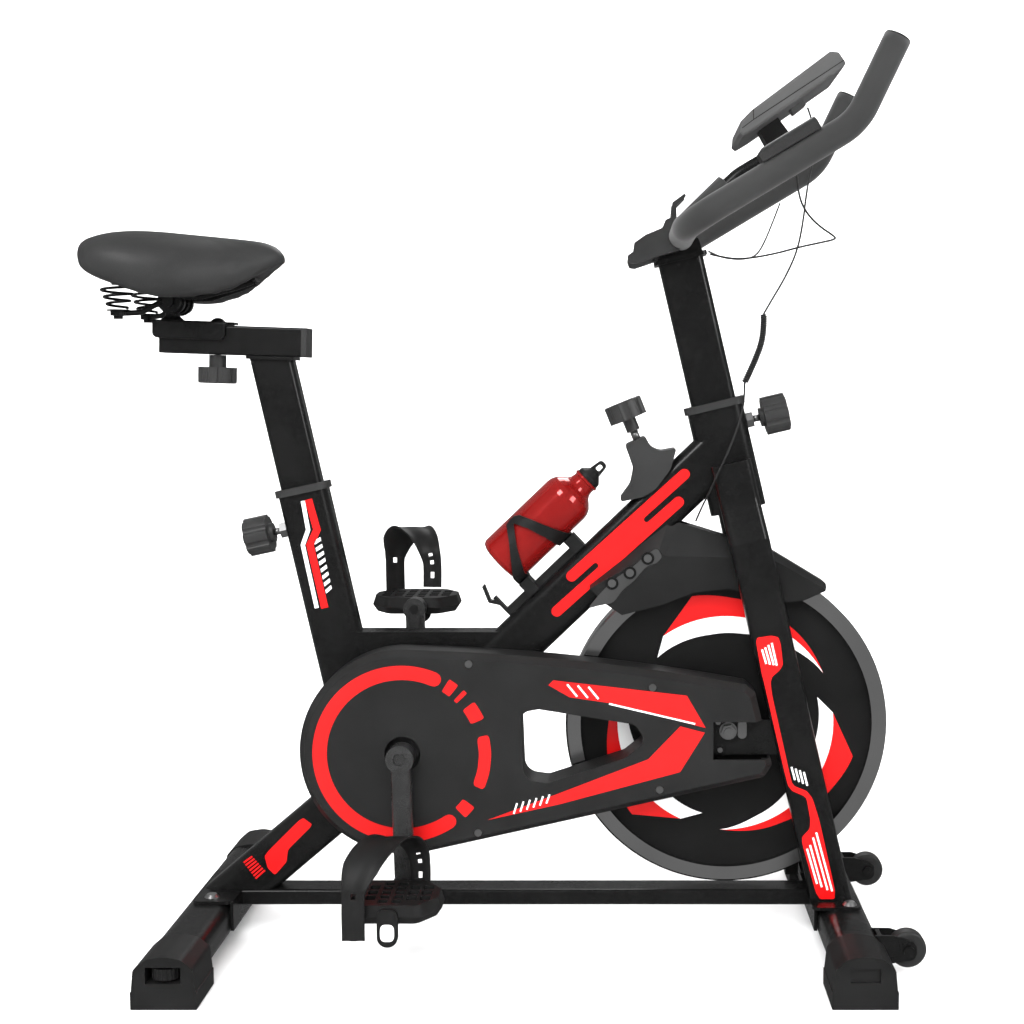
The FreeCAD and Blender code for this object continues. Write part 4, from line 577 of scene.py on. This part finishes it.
# ---- flywheel swooshes ----
def through(stations, angle):
    """Radius at an angle from stations of falling angle."""
    for (a0, r0), (a1, r1) in zip(stations[:-1], stations[1:]):
        if a1 <= angle <= a0:
            f = (a0 - angle) / (a0 - a1)
            f = f * f * (3 - 2 * f) * 0.3 + f * 0.7
            return r0 + (r1 - r0) * f
    return stations[-1][1]


OUTER_EDGE = [(105, 167), (86, 159), (57, 147), (27.5, 138)]
INNER_EDGE = [(136, 120), (100, 114.5), (80, 115.5), (50, 126), (27.5, 138)]
MID_R = 136.0
MID_START = 125.5
TIP_ANGLE = 27.5
TIP_R = 138.0


def swoosh(turn):
    """The red outer part and the white inner part of one decoration, as closed outlines."""
    steps = 30
    outer, mid, inner = [], [], []
    for i in range(steps + 1):
        share = i / steps
        outer_at = OUTER_EDGE[0][0] - (OUTER_EDGE[0][0] - TIP_ANGLE) * share
        mid_at = MID_START - (MID_START - TIP_ANGLE) * share
        inner_at = INNER_EDGE[0][0] - (INNER_EDGE[0][0] - TIP_ANGLE) * share
        outer.append(polar(WHEEL_CENTRE, through(OUTER_EDGE, outer_at), outer_at + turn))
        mid.append(polar(WHEEL_CENTRE, MID_R + (TIP_R - MID_R) * share ** 3, mid_at + turn))
        inner.append(polar(WHEEL_CENTRE, through(INNER_EDGE, inner_at), inner_at + turn))
    return outer + mid[::-1][1:], mid + inner[::-1][1:]


swooshes = [swoosh(turn) for turn in (0, -120, -240)]
both_sides("wheel_red", [red for red, white in swooshes], DISC_FACE, RED, "flywheel_body")
both_sides("wheel_white", [white for red, white in swooshes], DISC_FACE, WHITE, "flywheel_body")


# ---- guard decoration ----
GUARD_RING_R = 101.2
GUARD_RING_HALF = 8.8
RING_START = 67
RING_STOP = 304
RING_STEPS = 90


def guard_bit(start, end, inner=92.4, outer=110.0):
    return rounded(ring_part(CRANK_CENTRE, inner, outer, start, end, 3), 0.16)


def ring_end(degrees, turn):
    """Points of the round end of the guard's ring."""
    middle = polar(CRANK_CENTRE, GUARD_RING_R, degrees)
    return [polar(middle, GUARD_RING_HALF, degrees + turn + a) for a in (30, 60, 90, 120, 150)]


ring_sides = ring_part(CRANK_CENTRE, GUARD_RING_R - GUARD_RING_HALF, GUARD_RING_R + GUARD_RING_HALF,
                       RING_START,
                       RING_STOP, RING_STEPS)
guard_ring = (ring_sides[:RING_STEPS + 1] + ring_end(RING_STOP, 0) + ring_sides[RING_STEPS + 1:]
              + ring_end(RING_START, 180))
guard_red = [guard_ring, guard_bit(51, 58), guard_bit(43.5, 46.5), guard_bit(24, 36.5),
             guard_bit(-24, 13, 94, 109), guard_bit(-46, -37),
             [(57, 336), (63, 342), (226, 323), (249, 283), (131, 314), (83, 321)],
             [(-18, 168), (71, 202), (179, 244), (218, 285), (248, 277), (218, 228), (71, 188)]]
plates("guard_red", guard_red, -GUARD_FACE, DEEP_RED, "frame")
guard_white = [stroke([(80 + 13 * i, 337 - 1.5 * i), (92 + 13 * i, 322 - 1.5 * i)], 2.2) for i in range(3)]
guard_white += [stroke([(131, 313), (236, 288)], 2.0)]
guard_white += [stroke([(14 + 8 * i, 176 + 2.6 * i), (18 + 8 * i, 189 + 2.2 * i)], 2.0) for i in range(6)]
plates("guard_white", guard_white, -(GUARD_FACE + DECAL_PROUD), WHITE, "frame", proud=0.2)


# ---- saddle ----
def simulate_saddle():
    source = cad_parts["saddle_cushion"]
    mesh = source.data.copy()
    mesh.materials.clear()
    obj = bpy.data.objects.new("saddle_pad", mesh)
    bpy.context.scene.collection.objects.link(obj)
    bpy.context.view_layer.objects.active = obj
    obj.select_set(True)
    weld = obj.modifiers.new("weld", "WELD")
    weld.merge_threshold = 0.0001
    remesh = obj.modifiers.new("remesh", "REMESH")
    remesh.mode = "VOXEL"
    remesh.voxel_size = 0.005
    relax = obj.modifiers.new("relax", "SMOOTH")
    relax.factor = 0.5
    relax.iterations = 6
    for modifier in list(obj.modifiers):
        bpy.ops.object.modifier_apply(modifier=modifier.name)
    rest = [v.co.copy() for v in obj.data.vertices]
    pins = obj.vertex_groups.new(name="pan")
    for v in obj.data.vertices:
        if v.normal.z < -0.35:
            pins.add([v.index], 1.0, "REPLACE")
    cloth = obj.modifiers.new("cloth", "CLOTH")
    cloth.settings.quality = 8
    cloth.settings.mass = 0.35
    cloth.settings.tension_stiffness = 30
    cloth.settings.compression_stiffness = 20
    cloth.settings.bending_stiffness = 1.2
    cloth.settings.use_pressure = True
    cloth.settings.uniform_pressure_force = 4.0
    cloth.settings.effector_weights.gravity = 0.0
    cloth.settings.vertex_group_mass = "pan"
    cloth.collision_settings.use_collision = False
    cloth.point_cache.frame_start = 1
    cloth.point_cache.frame_end = 20
    for step in range(1, 21):
        bpy.context.scene.frame_set(step)
    shown = obj.evaluated_get(bpy.context.evaluated_depsgraph_get())
    swollen = [v.co.copy() for v in shown.data.vertices]
    obj.modifiers.remove(cloth)
    bpy.context.scene.frame_set(1)
    reach = 0.006
    for v, before, after in zip(obj.data.vertices, rest, swollen):
        push = after - before
        if push.length > reach:
            push *= reach / push.length
        v.co = before + push
    return obj


saddle = simulate_saddle()
bpy.ops.object.select_all(action="DESELECT")
saddle.select_set(True)
bpy.context.view_layer.objects.active = saddle
divide = saddle.modifiers.new("divide", "SUBSURF")
divide.levels = 1
bpy.ops.object.modifier_apply(modifier="divide")
for poly in saddle.data.polygons:
    poly.use_smooth = True
saddle.data.materials.append(LEATHER)
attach(saddle, "saddle")
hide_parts("saddle_cushion")

# ---- handlebar ----
def handle_path(side):
    y = side * HORN_Y
    return bent_path([(219, 0, 880), (219, y, 880), (407.3, y, 991.9), (452, y, 1086)], [44, 70])


foam_runs = []
cap_runs = []
for side in (-1, 1):
    path = handle_path(side)
    foam_runs.append((path[:-2] + [path[-1] - (path[-1] - path[-2]).normalized() * 3], HORN_R))
    top_dir = (path[-1] - path[-2]).normalized()
    cap_runs.append(([path[-1] - top_dir * 3.2, path[-1] - top_dir * 1.2], 14.6))
foam = swept("bar_foam", foam_runs, FOAM, "handlebar_column", 32)
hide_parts("handlebar")
swept("bar_end_caps", cap_runs, BLACK_PLASTIC, "handlebar_column", 32, 1.2)
loop_path = bent_path([(219, -58, 888), (286, -58, 950), (346, -58, 984), (346, 58, 984), (286, 58, 950),
                       (219, 58, 888)], [60, 30, 30, 60])
swept("bar_inner_loop", [(loop_path, 9.0)], PAINT, "handlebar_column", 24)
grip_runs = []
for side in (-1, 1):
    low, high = Vector((223, side * 58, 891.7)), Vector((271, side * 58, 938.5))
    direction = (high - low).normalized()
    grip_runs.append(([low, low.lerp(high, 0.5), high - direction * 1.0, high], [13.5, 13.6, 13.5, 12.6]))
swept("bar_inner_grips", grip_runs, FOAM, "handlebar_column", 32)


# ---- pedal straps ----
PEDALS = {-1: ("right", -122.91, 81.5), 1: ("left", -131.09, 418.5)}


def strap(side, centre_x, centre_z, body):
    y_out = 203.5
    y_in = 104.2
    rows = [(0.0, -14, y_out + 5, 13), (0.0, 34, y_out + 3, 13), (0.02, 48, y_out + 1, 15),
            (0.10, 66, y_out - 10, 21), (0.25, 80, y_out - 26, 22), (0.45, 88, y_out - 45, 22),
            (0.65, 87, y_out - 62, 20), (0.82, 78, y_out - 80, 17), (0.94, 62, y_in + 5, 14),
            (1.0, 44, y_in + 2.6, 12), (1.0, 13, y_in + 2.2, 12)]
    stations = [(Vector((centre_x - 38 + 64 * f, side * y, centre_z + z)), h) for f, z, y, h in rows]
    fine = []
    last = len(stations) - 1
    per = 9
    for i in range(last):
        quad = [stations[min(max(i + k, 0), last)] for k in (-1, 0, 1, 2)]
        (a, _), (b, hb), (c, hc), (d, _) = quad
        for k in range(per + (1 if i == last - 1 else 0)):
            t = k / per
            point = 0.5 * ((2 * b) + (c - a) * t + (2 * a - 5 * b + 4 * c - d) * t * t
                           + (3 * b - a - 3 * c + d) * t ** 3)
            fine.append((point, hb + (hc - hb) * t))
    bm = bmesh.new()
    columns = [-1.0, -0.82, -0.45, -0.2, 0.2, 0.45, 0.82, 1.0]
    grid = []
    for i, (point, half_width) in enumerate(fine):
        ahead = (fine[min(i + 1, len(fine) - 1)][0] - fine[max(i - 1, 0)][0]).normalized()
        out = ahead.cross(Vector((1, 0, 0))).normalized() * side
        sideways = ahead.cross(out).normalized()
        row = []
        for c in columns:
            lift = 1.1 if 0.3 < abs(c) < 0.9 else 0.0
            row.append(bm.verts.new((point + sideways * c * half_width - out * lift) * MM))
        grid.append(row)
    # adjusting slots near both ends, and short slots over the top of the foot
    holes = set()
    for low in range(4, 19, 5):
        holes.update((i, 3) for i in range(len(fine) - 3 - low, len(fine) - 1 - low))
    for low in (9,):
        holes.update((i, 3) for i in range(low, low + 3))
    for i in range(len(grid) - 1):
        for c in range(len(columns) - 1):
            if (i, c) not in holes:
                bm.faces.new((grid[i][c], grid[i][c + 1], grid[i + 1][c + 1], grid[i + 1][c]))
    name = "toe_strap_" + body
    obj = add_object(name, mesh_from(bm, name), BLACK_PLASTIC, None)
    bpy.context.view_layer.objects.active = obj
    bpy.ops.object.select_all(action="DESELECT")
    obj.select_set(True)
    thick = obj.modifiers.new("thick", "SOLIDIFY")
    thick.thickness = 2.2 * MM
    thick.offset = 0.0
    edge = obj.modifiers.new("edge", "BEVEL")
    edge.width = 0.5 * MM
    edge.segments = 2
    edge.limit_method = "ANGLE"
    for modifier in list(obj.modifiers):
        bpy.ops.object.modifier_apply(modifier=modifier.name)
    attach(obj, body + "_pedal")
    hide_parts("strap_" + body)


for side, (word, pedal_x, pedal_z) in PEDALS.items():
    strap(side, pedal_x, pedal_z, word)


# ---- console ----
CONSOLE_LOW = (300.0, 1025.3)
CONSOLE_HIGH = (393.0, 1094.0)


def console_turn():
    """From the sloping face's own frame, with X up the slope, to the bike's frame."""
    slope = math.atan2(CONSOLE_HIGH[1] - CONSOLE_LOW[1], CONSOLE_HIGH[0] - CONSOLE_LOW[0])
    return Matrix.Translation((CONSOLE_LOW[0], 0, CONSOLE_LOW[1])) @ Matrix.Rotation(-slope, 4, "Y")


def console_plate(name, along_range, y_range, raise_by, material, radius=1.0):
    """A thin plate on the sloping face, placed by distance up the slope."""
    bm = bmesh.new()
    turn = console_turn()
    for low, high in zip(along_range[::2], along_range[1::2]):
        for y0, y1 in zip(y_range[::2], y_range[1::2]):
            rounded_box(bm, (low, y0, -0.5), (high, y1, raise_by), radius, turn)
    return add_object(name, mesh_from(bm, name), material, "handlebar_column")


console_plate("console_bezel", (48, 106), (-46, 46), 0.6, BLACK_PLASTIC, 0.5)
console_plate("console_screen", (52, 102), (-42, 42), 0.9, LCD, 0.3)
SEGMENTS = {"0": "abcdef", "1": "bc", "2": "abged", "3": "abgcd"}


def digits(text):
    """Plain seven-bar numbers on the display."""
    turn = console_turn()
    bars = {"a": (24, 0, 26, 12), "g": (11, 0, 13, 12), "d": (-2, 0, 0, 12), "f": (13, 0, 25, 2),
            "b": (13, 10, 25, 12), "e": (-1, 0, 12, 2), "c": (-1, 10, 12, 12)}
    bm = bmesh.new()
    for i, letter in enumerate(text):
        for key in SEGMENTS[letter]:
            x0, y0, x1, y1 = bars[key]
            base = 30 - 18 * i
            rounded_box(bm, (65 + x0, base - y1, 0.5), (65 + x1, base - y0, 1.1), 0.25, turn)
    return add_object("console_digits", mesh_from(bm, "console_digits"), BLACK_PLASTIC, "handlebar_column")


digits("0203")
SEAM = stroke([(289, 1004), (302.5, 1014), (409, 1083)], 1.0)
for side in (-1, 1):
    plates("console_seam_" + ("right" if side < 0 else "left"),
           [SEAM, stroke([(302.5, 1014), (302, 1026)], 1.0)], side * 62, BLACK_PLASTIC, "handlebar_column",
           proud=0.15)


# ---- bracket between the down tube and the wheel hood ----
BRACKET = [(104, 424), (118, 428), (136, 431), (148, 448), (161, 458), (166, 464), (177, 477), (190, 481),
           (197, 489),
           (190, 500), (178, 492), (160, 476), (140, 463), (122, 446)]
BRACKET_BOLTS = [(134.5, 456), (156.6, 469), (178.7, 487)]
BOSS_R = 8.0
BOLT_R = 3.7
BRACKET_FACE = 33.0
BOSS_FACE = 33.7
BOLT_FACE = 34.9


def disc(centre, radius, steps=28):
    return [polar(centre, radius, 360 * i / steps) for i in range(steps)]


for side in (-1, 1):
    word = "right" if side < 0 else "left"
    plates("hood_bracket_" + word, [rounded(BRACKET, 0.2)], side * BRACKET_FACE, SATIN_STEEL, "frame",
           proud=0.7)
    plates("hood_boss_" + word, [disc(c, BOSS_R) for c in BRACKET_BOLTS], side * BOSS_FACE, PAINT, "frame",
           proud=1.2)
    plates("hood_bolt_" + word, [disc(c, BOLT_R) for c in BRACKET_BOLTS], side * BOLT_FACE, STEEL, "frame",
           proud=1.0)

# ---- bright sleeves on the rods of the three knobs ----
SLEEVES = [("brake_sleeve", "brake_screw", (166.0, 632.0), (-0.376, 0.927), 0.0, 12.0, 5.15),
           ("seat_pin_sleeve", "seat_pin", (-242.5, 526.5), (-0.977, -0.213), 39.8, 47.8, 4.35),
           ("handlebar_pin_sleeve", "handlebar_pin", (268.1, 648.0), (0.973, 0.232), 43.8, 51.8, 4.35)]
for sleeve_name, sleeve_body, foot, heading, near, far, sleeve_r in SLEEVES:
    start = Vector((foot[0] + heading[0] * near, 0, foot[1] + heading[1] * near))
    end = Vector((foot[0] + heading[0] * far, 0, foot[1] + heading[1] * far))
    swept(sleeve_name, [([start, start.lerp(end, 0.5), end], sleeve_r)], STEEL, sleeve_body,
          32)

# ---- plain white faces of the pedal weights ----
for side, word, centre_x, axle_z in ((-1, "right", -122.9, 94.05), (1, "left", -131.1, 405.95)):
    face = [(centre_x - 8, axle_z - 9), (centre_x + 8, axle_z - 9), (centre_x + 8, axle_z - 29),
            (centre_x - 8, axle_z - 29)]
    plates("pedal_tag_" + word, [rounded(face, 0.2)], side * WEIGHT_FACE, WHITE, word + "_pedal")


# ---- floor and light ----
def soft_light(name, place, target, size, power):
    data = bpy.data.lights.new(name, "AREA")
    data.shape = "DISK"
    data.size = size
    data.energy = power
    obj = bpy.data.objects.new(name, data)
    obj.location = place
    obj.rotation_euler = (Vector(target) - Vector(place)).to_track_quat("-Z", "Y").to_euler()
    bpy.context.scene.collection.objects.link(obj)


def backdrop():
    """A pale round floor that curves up into a wall on every side, in metres."""
    floor_r, bend, height, sides = 4.5, 2.5, 7.0, 96
    profile = [(floor_r, 0.0)]
    for i in range(1, 17):
        turn = math.pi / 2 * i / 16
        profile.append((floor_r + bend * math.sin(turn), bend - bend * math.cos(turn)))
    profile.append((floor_r + bend, height))
    bm = bmesh.new()
    rows = [[bm.verts.new((r * math.cos(2 * math.pi * k / sides), r * math.sin(2 * math.pi * k / sides), z))
             for k in range(sides)] for r, z in profile]
    middle = bm.verts.new((0, 0, 0))
    for k in range(sides):
        bm.faces.new((middle, rows[0][k], rows[0][(k + 1) % sides]))
    for low, high in zip(rows[:-1], rows[1:]):
        for k in range(sides):
            j = (k + 1) % sides
            bm.faces.new((low[k], high[k], high[j], low[j]))
    mesh = bpy.data.meshes.new("floor")
    bm.to_mesh(mesh)
    bm.free()
    for poly in mesh.polygons:
        poly.use_smooth = True
    obj = bpy.data.objects.new("floor", mesh)
    obj.location.z = -0.0004
    mesh.materials.append(surface("floor_paint", grey(0.92), grey(0.96), (0.8, 0.9), 60, 0.02, 0.2,
                                  blotch=2.0,
                                  specular=0.1))
    bpy.context.scene.collection.objects.link(obj)
    # left out of reflections and shadows, so that dark finishes stay dark and the wall doesn't shade the bike
    obj.visible_glossy = False
    obj.visible_shadow = False
    return obj


backdrop()

world = bpy.data.worlds.new("studio")
world.use_nodes = True
world.node_tree.nodes["Background"].inputs["Color"].default_value = (1, 1, 1, 1)
world.node_tree.nodes["Background"].inputs["Strength"].default_value = WORLD_STRENGTH
bpy.context.scene.world = world
SUNS = [("soft_sun", SUN_STRENGTH, 45, -10), ("back_sun", BACK_SUN_STRENGTH, -50, 15)]
for sun_name, strength, tilt, turn in SUNS:
    sun_data = bpy.data.lights.new(sun_name, "SUN")
    sun_data.energy = strength
    sun_data.angle = math.radians(60)
    sun = bpy.data.objects.new(sun_name, sun_data)
    sun.rotation_euler = (math.radians(tilt), 0, math.radians(turn))
    sun.visible_glossy = False
    bpy.context.scene.collection.objects.link(sun)
soft_light("key_light", (-1.2, -2.4, 2.6), (0, 0, 0.5), 1.2, 34)
soft_light("fill_light", (2.2, -1.6, 1.6), (0, 0, 0.6), 1.0, 16)
soft_light("back_light", (0.4, 2.3, 2.6), (0, 0, 0.6), 1.6, 26)
bpy.context.scene.view_settings.view_transform = "Standard"
